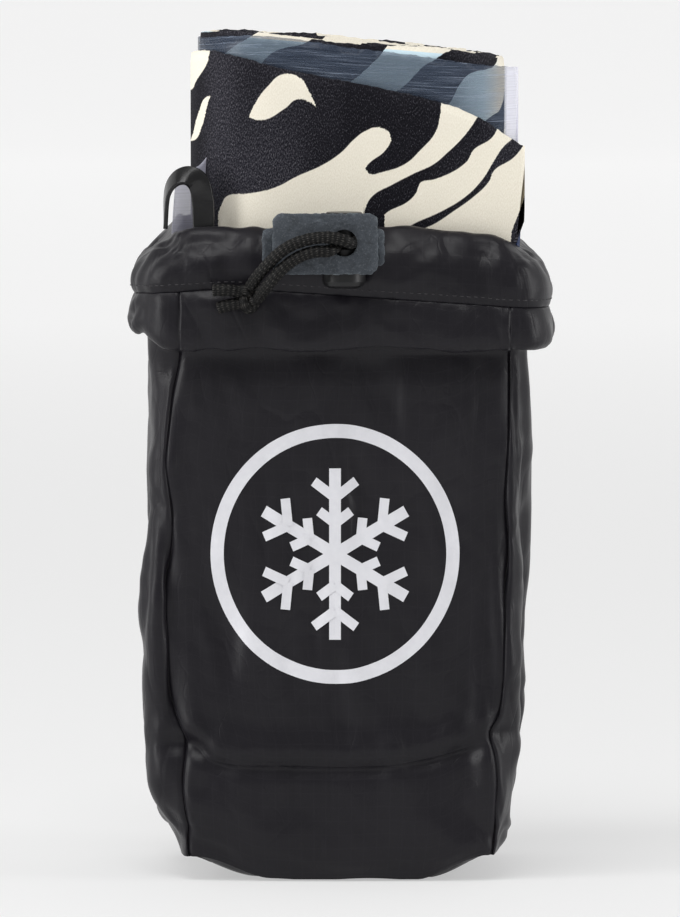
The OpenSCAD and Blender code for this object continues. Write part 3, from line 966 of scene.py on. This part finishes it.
def dress_body(points):
    """Adds the base crease, small crumples, and presses the cloth in along the seams."""
    flat = points.reshape(-1, 3).copy()
    normal = outward(flat, body_faces)
    front = smoothstep(-30, -36, flat[:, 1])
    gap = flat[:, 2] - CREASE_Z(flat[:, 0])
    reach = smoothstep(60, 48, np.abs(flat[:, 0]))
    step = 2.0 * np.exp(-((gap - 6) / 5) ** 2) - 2.6 * np.exp(-((gap + 0.5) / 2.2) ** 2)
    push = front * reach * step
    # Deep folds where the crease meets the side seams
    for side in (-1, 1):
        ear = ((flat[:, 0] - side * 56) / 9) ** 2 + ((flat[:, 2] - (50 if side < 0 else 54)) / 3.2) ** 2
        push -= 3.0 * np.exp(-ear) * smoothstep(0, -30, flat[:, 1])
    side_part = smoothstep(56, 62, np.abs(flat[:, 0]))
    calm = smoothstep(0, 12, flat[:, 2]) * smoothstep(192, 184, flat[:, 2])
    push += calm * (0.35 + 0.55 * side_part) * (body_facets(flat) + 0.25 * body_fine(flat))
    push -= 1.3 * front * smoothstep(180, 190, flat[:, 2])
    column = np.tile(np.arange(COLS), len(points))
    for seam in (a for a, _ in SPANS):
        away = np.minimum(np.abs(column - seam), COLS - np.abs(column - seam))
        push -= 1.3 * np.exp(-(away / 0.6) ** 2)
    flat += normal * push[:, None]
    flat[:, 2] = np.maximum(flat[:, 2], 0.4)
    return flat.reshape(points.shape)


body = dress_body(body)


def panel_columns(part):
    a, b = SPANS[part]
    return [c % COLS for c in range(a, b + 1)]


def cloth_uv(rows, ring):
    """Distances round the sack and up the cloth, for the weave."""
    across = np.broadcast_to(arc_lengths(ring)[:len(ring)], rows.shape[:2])
    up = np.cumsum(np.concatenate([np.zeros((1, rows.shape[1])),
                                   np.linalg.norm(np.diff(rows, axis=0), axis=2)]), axis=0)
    return np.stack([across, up], axis=2)


# The cuff above the body: how far out and how high the cloth runs, fold first, then the channel
FOLD_PATH = [(0, 192), (0.4, 198), (1.0, 203.5), (2.4, 205.6), (3.8, 203), (4.6, 198.5), (5.4, 195.2),
             (6.8, 193.4), (8.4, 193.8), (9.4, 196.6), (9.6, 201), (9.2, 206), (8.3, 210.2), (7.6, 211.6)]
CHANNEL_PATH = [(7.6, 211.6), (8.4, 213.2), (9.0, 217), (8.8, 222), (7.6, 227), (5.4, 231.5), (2.8, 235),
                (0.8, 236.8), (-1.0, 237.3), (-2.4, 236), (-3.0, 232.5), (-2.6, 226), (-1.2, 219),
                (-0.4, 213)]
# The channel's stitch line dips to the right; the profiles above are drawn for a line at STITCH_MID
STITCH_Z = curve_of([(-78, 212), (-60, 215), (-40, 215.5), (0, 213), (30, 211), (60, 209), (78, 207)], 8)
STITCH_MID = 212


def cuff_rows(path, count):
    """Rows of the cuff along one of its profiles, leaning with the stitch line."""
    trace, _ = resample([(d, 0, z) for d, z in path], 1.0)
    pick = np.linspace(0, len(trace) - 1, count).round().astype(int)
    lean = STITCH_Z(column_x) - STITCH_MID
    rows = []
    for d, _, z in trace[pick]:
        ring, _ = section(np.full(COLS, BODY_TOP), d)
        ring[:, 2] = z + lean * smoothstep(192, 206, z) * smoothstep(238, 218, z)
        rows.append(ring)
    return np.array(rows), trace[pick]


gather_wave = Waves(9, 10)
gather_slow = Waves(40, 8)
dent_wave = Waves(34, 12, (1.4, 1, 1))
dent_facets = Facets(17, 7, (1, 1, 2.6))
fine_facets = Facets(9, 7, (1, 1, 1.6))
rim_wave = Waves(46, 10, (1, 1, 3))


def gather(rows, trace, faces):
    """Pleats at the two ends, dents along the faces and a wandering rim."""
    flat = rows.reshape(-1, 3).copy()
    normal = outward(flat, faces)
    height = np.repeat(trace[:, 2], COLS)
    outer = np.repeat(trace[:, 0], COLS)
    ring = arc_lengths(rows[0])[:COLS]
    run = np.tile(ring, len(rows))
    ends = smoothstep(50, 66, np.abs(flat[:, 0]))
    near_stitch = np.exp(-((height - SEAM_Z) / 3.0) ** 2)
    pleat = np.sin(math.pi * run / 6 + 1.4 * gather_slow(flat) + 0.4 * gather_wave(flat * (1, 1, 0.3)))
    pleat = 2 * np.abs(pleat) - 1.2
    strength = 0.85 * ends * (1 - 0.45 * near_stitch) * (0.7 + 0.4 * gather_slow(flat * 1.3))
    strength *= smoothstep(0.5, 5, outer)
    dents = 0.55 * dent_wave(flat) + (0.35 + 0.35 * ends) * dent_facets(flat) + 0.15 * fine_facets(flat)
    dents *= smoothstep(2, 6, outer) * (1 - near_stitch * 0.8) * (1 - 0.55 * ends)
    # Small puckers along the stitch line
    pucker = 0.35 * np.sin(2 * math.pi * run / 4.6 + 2 * gather_wave(flat))
    pucker *= np.exp(-((height - SEAM_Z - 0.5) / 3.5) ** 2)
    flat += normal * (pleat * strength + dents + pucker)[:, None]
    rim = smoothstep(222, 238, height)
    right_drop = 3.0 * smoothstep(28, 66, flat[:, 0])
    wander = 0.9 * rim_wave(rows.reshape(-1, 3)) + 0.4 * dent_facets(flat)
    flat[:, 2] += rim * (wander - 2.0 * ends - right_drop)
    return flat.reshape(rows.shape)


def at_left(rows):
    return smoothstep(-62, -74, rows[..., 0])


def make_cuff():
    fold, fold_trace = cuff_rows(FOLD_PATH, 34)
    low_part = smoothstep(204, 194, fold_trace[:, 2])[:, None]
    fold[..., 2] += low_part * 5.0 * at_left(fold)
    # On the left the cuff hugs the side, where the rolls leave the sack slack
    hug = 3.0 * smoothstep(2, 7, fold_trace[:, 0])[:, None]
    fold[..., 0] += hug * at_left(fold)
    channel, channel_trace = cuff_rows(CHANNEL_PATH, 40)
    channel[..., 0] += 3.0 * at_left(channel)
    lean_in = smoothstep(214, 238, channel_trace[:, 2])
    # The mouth is drawn in at its two ends, more on the side that the rolls leave free
    for k, amount in enumerate(lean_in):
        x = channel[k, :, 0]
        pull = np.where(x < 0, 8.0 * smoothstep(-48, -66, x), 5.0 * smoothstep(54, 66, x))
        channel[k, :, 0] -= np.sign(x) * pull * amount
    fold = gather(fold, fold_trace, grid_faces(len(fold), COLS, wrap=True))
    channel = gather(channel, channel_trace, grid_faces(len(channel), COLS, wrap=True))
    fold[0] = body[-1]
    fold[-1] = channel[0] = (fold[-1] + channel[0]) / 2
    return fold, channel


fold, channel = make_cuff()
channel_faces = grid_faces(len(channel), COLS, wrap=True)
wall = np.concatenate([body, fold[1:]])

PANELS = [("front_panel_cloth", "front_panel"), ("right_gusset_cloth", "right_gusset"),
          ("back_panel_cloth", "back_panel"), ("left_gusset_cloth", "left_gusset")]


def mean_length(points, axis):
    """How long the cloth is along its rows (axis 1) or up its columns (axis 0), on average."""
    steps = np.linalg.norm(np.diff(points, axis=axis), axis=2)
    return np.mean(steps.sum(axis=axis))


def sew(piece, node):
    """Gives a draped piece its thickness and finish."""
    subdivide(piece)
    thicken(piece, CLOTH_T)
    finish_piece(piece, NYLON, "sack", "nylon", node)


def make_panels():
    uv = cloth_uv(wall, body[BODY_ROWS // 2])
    made = {}
    for part, (name, node) in enumerate(PANELS):
        cols = panel_columns(part)
        points, flat = wall[:, cols], uv[:, cols]
        if cols[-1] == 0:
            flat = flat.copy()
            flat[:, -1, 0] = arc_lengths(body[BODY_ROWS // 2])[-1]
        faces = grid_faces(len(wall), len(cols))
        panel = mesh_object(name, points.reshape(-1, 3), faces, flat.reshape(-1, 2))
        sew(panel, node)
        wide, tall = mean_length(points, 1), mean_length(points, 0)
        made[node] = panel
    return made


panels = make_panels()


def make_channel():
    uv = cloth_uv(channel, body[BODY_ROWS // 2]).reshape(-1, 2)
    band = mesh_object("channel_cloth", channel.reshape(-1, 3), channel_faces, uv)
    sew(band, "cord_channel")
    around, tall = mean_length(channel, 1), mean_length(channel, 0)


make_channel()


def make_base():
    """The floor of the sack: flat where it stands and turned up to meet the walls."""
    ring = body[0]
    centre = np.array([ring[:, 0].mean(), 0, 0])
    steps = [1.0, 0.97, 0.94, 0.9, 0.85, 0.8, 0.74, 0.67, 0.6, 0.52, 0.44, 0.35, 0.25, 0.12]
    rows = []
    for t in steps:
        row = centre + (ring - centre) * t
        settled = np.maximum(bottom_height(row[:, 0]), 0.5)
        row[:, 2] = settled + (ring[:, 2] - settled) * smoothstep(0.85, 1.0, t)
        rows.append(row)
    points = np.vstack([np.array(rows).reshape(-1, 3), [centre + (0, 0, 0.5)]])
    faces = grid_faces(len(steps), COLS, wrap=True)
    last = (len(steps) - 1) * COLS
    faces += [(last + c, last + (c + 1) % COLS, len(points) - 1) for c in range(COLS)]
    faces = [f[::-1] for f in faces]
    base = mesh_object("base_cloth", points, faces, points[:, :2])
    thicken(base, CLOTH_T)
    finish_piece(base, NYLON, "sack", "nylon", "base_panel")


make_base()

# ---- Print on the front: a plain ring round a six-armed flake ----


BAR_STEP = 1.2
RING_W = 5.0
ARM_W = 4.4
BARB_W = 3.6
# The print lies on bulging cloth, so it is drawn a little narrower than it is tall, and off the middle
EMBLEM_SQUEEZE = 0.955
EMBLEM_SHIFT = -1.8


def surface_finder(obj):
    """A function that finds the front of the cloth at a place in x and z."""
    mesh = obj.data
    tree = BVHTree.FromPolygons([v.co[:] for v in mesh.vertices], [p.vertices[:] for p in mesh.polygons])

    def front_of(x, z, lift):
        hit = tree.ray_cast(Vector((x * MM, -0.2, z * MM)), Vector((0, 1, 0)))[0]
        return np.array(hit) / MM + (0, -lift, 0)
    return front_of


def bar(start, end, wide):
    """The points and faces of a flat bar from start to end, drawn in x and z."""
    way = end - start
    n = max(1, round(np.linalg.norm(way) / BAR_STEP))
    side = np.array([-way[1], way[0]]) / np.linalg.norm(way) * wide / 2
    points = [start + way * i / n + side * j for i in range(n + 1) for j in (-1.0, 0.0, 1.0)]
    return points, grid_faces(n + 1, 3)


def heading(angle):
    return np.array([math.sin(angle), math.cos(angle)])


def make_emblem():
    radius = (emblem_high[2] - emblem_low[2]) / 2
    turns, cells = 220, 4
    ring = [(r * math.cos(a), r * math.sin(a)) for r in np.linspace(radius - RING_W, radius, cells + 1)
            for a in np.linspace(0, 2 * math.pi, turns, endpoint=False)]
    shapes = [(ring, grid_faces(cells + 1, turns, wrap=True))]
    arm = radius - 3.2 * RING_W
    for k in range(6):
        lean = k * math.pi / 3
        out = heading(lean)
        if k < 3:
            shapes.append(bar(-out * arm, out * arm, ARM_W))
        for at, long in ((0.36, 0.24), (0.66, 0.32)):
            for way in (-1, 1):
                barb = heading(lean + math.radians(54) * way)
                shapes.append(bar(out * arm * at, out * arm * at + barb * arm * long, BARB_W))
    front_of = surface_finder(panels["front_panel"])
    centre_x = EMBLEM_C[0] + EMBLEM_SHIFT
    points, faces = [], []
    for layer, (flat, cells_of) in enumerate(shapes):
        lift = 0.1 + 0.012 * layer
        faces += [tuple(len(points) + i for i in f) for f in cells_of]
        points += [front_of(centre_x + p[0] * EMBLEM_SQUEEZE, EMBLEM_C[2] + p[1], lift) for p in flat]
    emblem = mesh_object("emblem_cloth_print", points, faces)
    thicken(emblem, 0.12)
    emblem.data.shade_flat()
    finish_piece(emblem, PRINT, "sack", "print", "emblem_print")


make_emblem()

# ---- Suede patch and its backer ----


# The cord's hole, and how far the patch bends back at its two ends
HOLE_R = 4.8
SUEDE_BEND = 0.9


def suede_plate(name, low, high, corner, node, seed_shift):
    """A thick rounded plate with a cord hole, a soft bend and a napped, cut edge."""
    ragged = Waves(2.2, 16)
    broad = Waves(14, 8)
    hole = np.array([LOCK_X, UPPER_ROUTE[0][2]])
    mid, half = (low + high) / 2, (high - low) / 2
    spokes = 168
    angle = np.linspace(0, 2 * math.pi, spokes, endpoint=False)
    way = np.stack([np.cos(angle), np.sin(angle)], axis=1)
    edge = np.array([rounded_reach(hole, w, mid[[0, 2]], half[[0, 2]], corner) for w in way])
    rings = 22
    reach = [HOLE_R + (edge - HOLE_R) * (k / rings) for k in range(rings + 1)]
    flat = np.array([hole + way * r[:, None] for r in reach])
    sides = []
    for y, face in ((low[1], -1), (high[1], 1)):
        layer = np.zeros((rings + 1, spokes, 3))
        layer[..., 0], layer[..., 2] = flat[..., 0], flat[..., 1]
        across = (flat[..., 0] - mid[0]) / half[0]
        layer[..., 1] = y + SUEDE_BEND * across**2
        layer[..., 1] += 0.3 * broad(layer) + face * 0.05 * ragged(layer * 1.4 + seed_shift)
        edge_soft = smoothstep(0.9, 1.0, np.linspace(0, 1, rings + 1))[:, None]
        layer[..., 1] -= face * 0.35 * edge_soft
        rough = 0.14 * ragged(layer + seed_shift) * edge_soft
        layer[..., 0] += rough * way[:, 0]
        layer[..., 2] += rough * way[:, 1]
        sides.append(layer)
    count = (rings + 1) * spokes
    points = np.vstack([s.reshape(-1, 3) for s in sides])
    faces = [f[::-1] for f in grid_faces(rings + 1, spokes, wrap=True)]
    faces += grid_faces(rings + 1, spokes, wrap=True, start=count)
    outer = rings * spokes
    for c in range(spokes):
        d = (c + 1) % spokes
        faces.append((c, d, count + d, count + c))
        faces.append((outer + d, outer + c, count + outer + c, count + outer + d))
    finish_piece(mesh_object(name, points, faces, points[:, [0, 2]]), SUEDE, "sack", "suede", node)


def rounded_reach(origin, way, mid, half, corner):
    """How far a ray from origin goes before it leaves a rounded rectangle."""
    low, high = 0.0, 60.0
    for _ in range(24):
        t = (low + high) / 2
        p = np.abs(origin + way * t - mid) - (half - corner)
        inside = np.linalg.norm(np.maximum(p, 0)) <= corner and np.max(p) <= corner
        low, high = (t, high) if inside else (low, t)
    return low


suede_plate("suede_patch_piece", patch_low, patch_high, 3.6, "suede_patch", 0.0)
suede_plate("suede_backer_piece", backer_low, backer_high, 2.0, "suede_backer", 5.0)

# ---- Cord lock, rivets, tabs and loops: CAD shapes with their finish ----


for node, mat in (("lock_barrel", LOCK), ("lock_plunger", LOCK), ("lock_spring", SPRING)):
    wear(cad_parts[node], mat)
for level in ("upper", "lower"):
    for node, mat in (("strap_rivets", RIVET), ("tip_tab", TAB), ("tip_loop", WIRE)):
        wear(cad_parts[f"{level}_{node}"], mat)

# ---- The drawcord in its channel ----


def make_channel_cord():
    """The drawcord inside the channel, and its two ends through the lock to the patch."""
    inner = (channel[18] + channel[34]) / 2
    ring = inner[::6]
    front = ring[(ring[:, 1] > -30) | (np.abs(ring[:, 0] - LOCK_X) > 14)]
    order = np.argsort((np.arctan2(front[:, 1], front[:, 0] - LOCK_X) + math.pi / 2) % (2 * math.pi))
    loop = front[order]
    z = UPPER_ROUTE[0][2]
    exit_x = LOCK_X + 2.4
    exit_y = inner[:, 1].min()
    right = [(exit_x, -65.8, z), (exit_x, -56, z), (exit_x, exit_y - 6, z), (exit_x + 3, exit_y - 0.5, z)]
    left = [(2 * LOCK_X - x, y, h) for x, y, h in right[::-1]]
    path, _ = resample(np.vstack([right, loop, left]), 0.8)
    # A little thinner than the free strands, to stay inside the cloth
    cord = tube("channel_cord", path, CORD_D / 2 - 0.2, around=14)
    finish_piece(cord, CORD, "sack", "cord", "channel_drawcord")


make_channel_cord()

# ---- Stitches ----


STITCH_L = 1.7
STITCH_GAP = 0.9
THREAD_R = 0.16


def stitch_row(name, points, normals):
    """A row of small thread stitches along a line of points with outward normals."""
    run = run_along(points)
    all_points, all_faces = [], []
    taper = np.array([0.45, 1, 1, 1, 0.45]) * THREAD_R
    rise = np.sin(np.linspace(0, math.pi, 5))[:, None]
    at = 0.5
    while at + STITCH_L < run[-1]:
        places = np.linspace(at, at + STITCH_L, 5)
        out = columns_at(places, run, normals)
        line = columns_at(places, run, points) + out * (0.22 * rise + 0.02)
        side = unit(np.cross(np.gradient(line, axis=0), out))
        base = len(all_points)
        for k in range(5):
            for a in np.linspace(0, 2 * math.pi, 6, endpoint=False):
                all_points.append(line[k] + taper[k] * (math.cos(a) * side[k] + math.sin(a) * out[k]))
        all_faces += grid_faces(5, 6, wrap=True, start=base)
        all_faces += [tuple(base + k for k in range(5, -1, -1)), tuple(base + 24 + k for k in range(6))]
        at += STITCH_L + STITCH_GAP
    return mesh_object(name, all_points, all_faces)


def thread_material():
    s = Shader("thread", 0.6)
    s.colour(s.mix(s.noise(s.place, 900, 2), (0.012, 0.011, 0.013), (0.05, 0.047, 0.052)))
    s.bump(s.wave(s.place, 900), 0.05, 0.5)
    return s.mat


THREAD = thread_material()


def channel_stitches():
    rows = channel.reshape(-1, 3)
    normal = outward(rows, channel_faces).reshape(channel.shape)
    closed = list(range(COLS)) + [0]
    obj = stitch_row("stitches_channel", channel[2][closed], normal[2][closed])
    finish_piece(obj, THREAD, "sack", "nylon")


channel_stitches()

# ---- Wound skins ----

TURNS = 12
PITCH = 3.4
WOUND_R = (plush_high[1] - plush_low[1]) / 2
LEFT_C = plush_low[0] + WOUND_R
RIGHT_C = 28.6
WOUND_STEP = 1.6
EDGE_WOBBLE = 0.6
EDGE_FUZZ = 0.16
SACK_RIGHT = 61
PLUSH_T, GLUE_T = 2.0, 0.4


def wound_path(inset, end_x):
    """The strip's line from above: in from its free end, then half turns about two centres."""
    points = [np.array([x, -WOUND_R + inset]) for x in np.arange(end_x, LEFT_C, -WOUND_STEP)]
    for k in range(TURNS):
        r = WOUND_R - k * PITCH / 2 - inset
        n = max(8, round(math.pi * r / WOUND_STEP))
        if k % 2 == 0:
            c, a0, a1 = np.array([LEFT_C, 0]), 270, 90
        else:
            c, a0, a1 = np.array([RIGHT_C, PITCH / 2]), 90, -90
        for a in np.radians(np.linspace(a0, a1, n + 1)):
            points.append(c + r * np.array([math.cos(a), math.sin(a)]))
        if k % 2 == 0:
            across = np.arange(LEFT_C + WOUND_STEP, RIGHT_C, WOUND_STEP)
        else:
            across = np.arange(RIGHT_C - WOUND_STEP, LEFT_C, -WOUND_STEP)
        if k == TURNS - 1:
            across = across[:14]
        points += [np.array([x, points[-1][1]]) for x in across]
    return np.array(points)


def wound_strip(name, inset, thick, bottom, end_x, top):
    """A closed wound strip. Bottom(x) and top(x, run) give the heights of its edges."""
    outer = wound_path(inset, end_x)
    tangent = unit(np.gradient(outer, axis=0))
    inward = np.stack([tangent[:, 1], -tangent[:, 0]], axis=1)
    run = run_along(outer)
    low = bottom(outer[:, 0])
    upper = top(outer[:, 0], run)
    slow = Waves(60, 8)
    shift = slow(np.stack([run, np.zeros_like(run), np.zeros_like(run)], axis=1)) * EDGE_WOBBLE
    levels = np.concatenate([np.linspace(0, 0.94, 22), [0.975, 1.0]])
    rows = []
    heights = []
    for depth, ts in ((0.0, levels), (thick, levels[::-1])):
        for t in ts:
            edge = 0.18 * thick if t in (0.0, 1.0) else 0.0
            d = depth + (edge if depth == 0 else -edge)
            z = low + (upper - low) * t
            xy = outer + inward * d
            # Down inside the sack the gusset holds the free end in
            xy[:, 0] -= np.maximum(xy[:, 0] - SACK_RIGHT, 0) * (xy[:, 1] < -20) * smoothstep(240, 228, z)
            fuzz = rng.normal(0, EDGE_FUZZ, len(z)) if t == 1.0 else 0
            rows.append(np.column_stack([xy, z + (shift + fuzz if t > 0.5 else 0)]))
            heights.append(z)
    rows = np.array(rows)
    n = rows.shape[1]
    last = (len(rows) - 1) * n
    faces = grid_faces(len(rows), n)
    faces += [(last + c, last + c + 1, c + 1, c) for c in range(n - 1)]
    faces.append(tuple(r * n for r in range(len(rows)))[::-1])
    faces.append(tuple(r * n + n - 1 for r in range(len(rows))))
    uv = np.stack([np.broadcast_to(run, rows.shape[:2]), np.array(heights)], axis=2)
    return mesh_object(name, rows.reshape(-1, 3), [f[::-1] for f in faces], uv.reshape(-1, 2)), run[-1]


# Where the free ends of the two rolls stop
UPPER_END = 66.4
LOWER_END = 52.0
# Height of the upper roll's wound edge against x
UPPER_EDGE_Z = curve_of([(-60, 304), (-46, 304.4), (-17, 302.8), (34, 298.6), (61, 295.2), (70, 294)])
# Height of its free end's top edge against the run from that end, up to where the diagonal cut ends
CUT_END = 185
FLAP_TOP_Z = curve_of([(0, 265.4), (17, 276), (30, 280.6), (78, 292.8), (100, 297.4), (116, 299.2),
                       (139, 298.2), (160, 300.6), (CUT_END, 304)], 2.5)


def upper_top(x, run):
    """The plush's edge: it stands proud of the film after its first turn, and its cut end falls away."""
    proud = -1.0 + 2.6 * smoothstep(236, 262, run)
    return np.minimum(UPPER_EDGE_Z(x) + proud, np.where(run < CUT_END, FLAP_TOP_Z(run), 400))


def even_top(x, run):
    return UPPER_EDGE_Z(x)


def lower_top(x, run):
    return np.full_like(x, lower_high[2])


def upper_bottom(x):
    return np.full_like(x, plush_low[2])


def lower_bottom(x):
    """The lower roll stands in the rounded floor of the sack, so its edge rises towards the two ends."""
    return np.maximum(lower_low[2] + 0.5, bottom_height(x) + 1.5 + 12 * smoothstep(40, 62, np.abs(x)))


def make_skin(level, bottom, top, film_top, end_x):
    body_name = f"{level}_roll"
    layers = [("plush", 0.0, PLUSH_T, PLUSH, end_x, top),
              ("glue", PLUSH_T + 0.02, GLUE_T, GLUE, end_x - 0.6, lambda x, run: top(x, run) - 2.4),
              ("liner", PLUSH_T + GLUE_T + 0.25, FILM_T, LINER, end_x - 2.4, film_top)]
    for layer, inset, thick, mat, end, upper in layers:
        strip, length = wound_strip(f"{level}_{layer}_strip", inset, thick, bottom, end, upper)
        finish_piece(strip, mat, body_name, layer, f"{level}_{layer}")
        wide = float(upper(np.zeros(1), np.full(1, 300.0))[0] - bottom(np.zeros(1))[0])


make_skin("upper", upper_bottom, upper_top, even_top, UPPER_END)
make_skin("lower", lower_bottom, lower_top, lower_top, LOWER_END)

# ---- Tail straps ----


def ribbon(name, route, faces_to, wide, thick, body_name, node):
    """A flat strap along route; faces_to gives the strap's outward direction at each route point."""
    path, _ = resample(route, 0.8)
    places, marks = np.linspace(0, 1, len(path)), np.linspace(0, 1, len(route))
    out = columns_at(places, marks, np.array(faces_to, float))
    width = np.interp(places, marks, wide)
    tangent = unit(np.gradient(path, axis=0))
    out -= tangent * (out * tangent).sum(axis=1)[:, None]
    out = unit(out)
    side = np.cross(tangent, out)
    soft = thick * 0.32
    rings = []
    for sx, sy in ((1, 1), (-1, 1), (-1, -1), (1, -1)):
        for a in np.radians((0, 30, 60, 90)):
            turn = a if sx * sy > 0 else math.pi / 2 - a
            px = sx * (width / 2 - soft + soft * math.cos(turn))
            py = sy * (thick / 2 - soft + soft * math.sin(turn))
            rings.append(path + side * px[:, None] + out * py)
    rows = np.array(rings).transpose(1, 0, 2)
    n = rows.shape[1]
    faces = grid_faces(len(rows), n, wrap=True)
    faces += [tuple(range(n))[::-1], tuple(range((len(rows) - 1) * n, len(rows) * n))]
    finish_piece(mesh_object(name, rows.reshape(-1, 3), faces), STRAP, body_name, "strap", node)


UPPER_RIVET_Z = plush_low[2] + 45
LOWER_RIVET_Z = lower_low[2] + 110


def make_straps():
    front = (0, -1, 0)
    y, z = STRAP_Y, UPPER_RIVET_Z
    route = [(-5, y, z), (-24, y, z), (-38, y - 0.2, z + 4), (-46, y, z + 16), (-48.8, y + 0.8, 232),
             (-49.4, y + 1.4, 246), (-51, y + 1.5, 252.5), (-55, y + 1.5, 255), (-59.4, y + 2, 253.4),
             (-62.2, y + 2.4, 248), (-62.8, y + 2.6, 236)]
    faces_to = [front] * 5 + [(0.1, -1, 0.1), (0.05, -0.9, 0.45), (-0.15, -0.8, 0.6), (-0.5, -0.55, 0.5),
                              (-1, -0.15, 0.1), (-1, 0, 0)]
    wide = [7.5] * 7 + [8, 8, 7.5, 7]
    ribbon("upper_strap_piece", route, faces_to, wide, 1.6, "upper_roll", "upper_tail_strap")
    route = [(x, y, LOWER_RIVET_Z) for x in (-19, 0, 20, 39)]
    ribbon("lower_strap_piece", route, [front] * 4, [7] * 4, 1.7, "lower_roll", "lower_tail_strap")


make_straps()


def make_liner_tail():
    """The free end of the upper skin's release film, standing up beside the roll behind the strap."""
    across, tall = 18, 30
    rows = []
    for j in range(tall + 1):
        v = j / tall
        for i in range(across + 1):
            u = i / across
            x = -61.5 + 13 * u + 2.0 * v**2
            y = -27 + 9 * u + 1.4 * math.sin(3 * v)
            z = 206 + (56 - 12 * (1 - u) ** 1.5 + 1.5 * math.sin(7 * u)) * v
            rows.append((x, y, z))
    film = mesh_object("upper_liner_tail", rows, grid_faces(tall + 1, across + 1), np.array(rows)[:, [0, 2]])
    thicken(film, FILM_T)
    finish_piece(film, CLEAR_LINER, "upper_roll", "liner")


make_liner_tail()
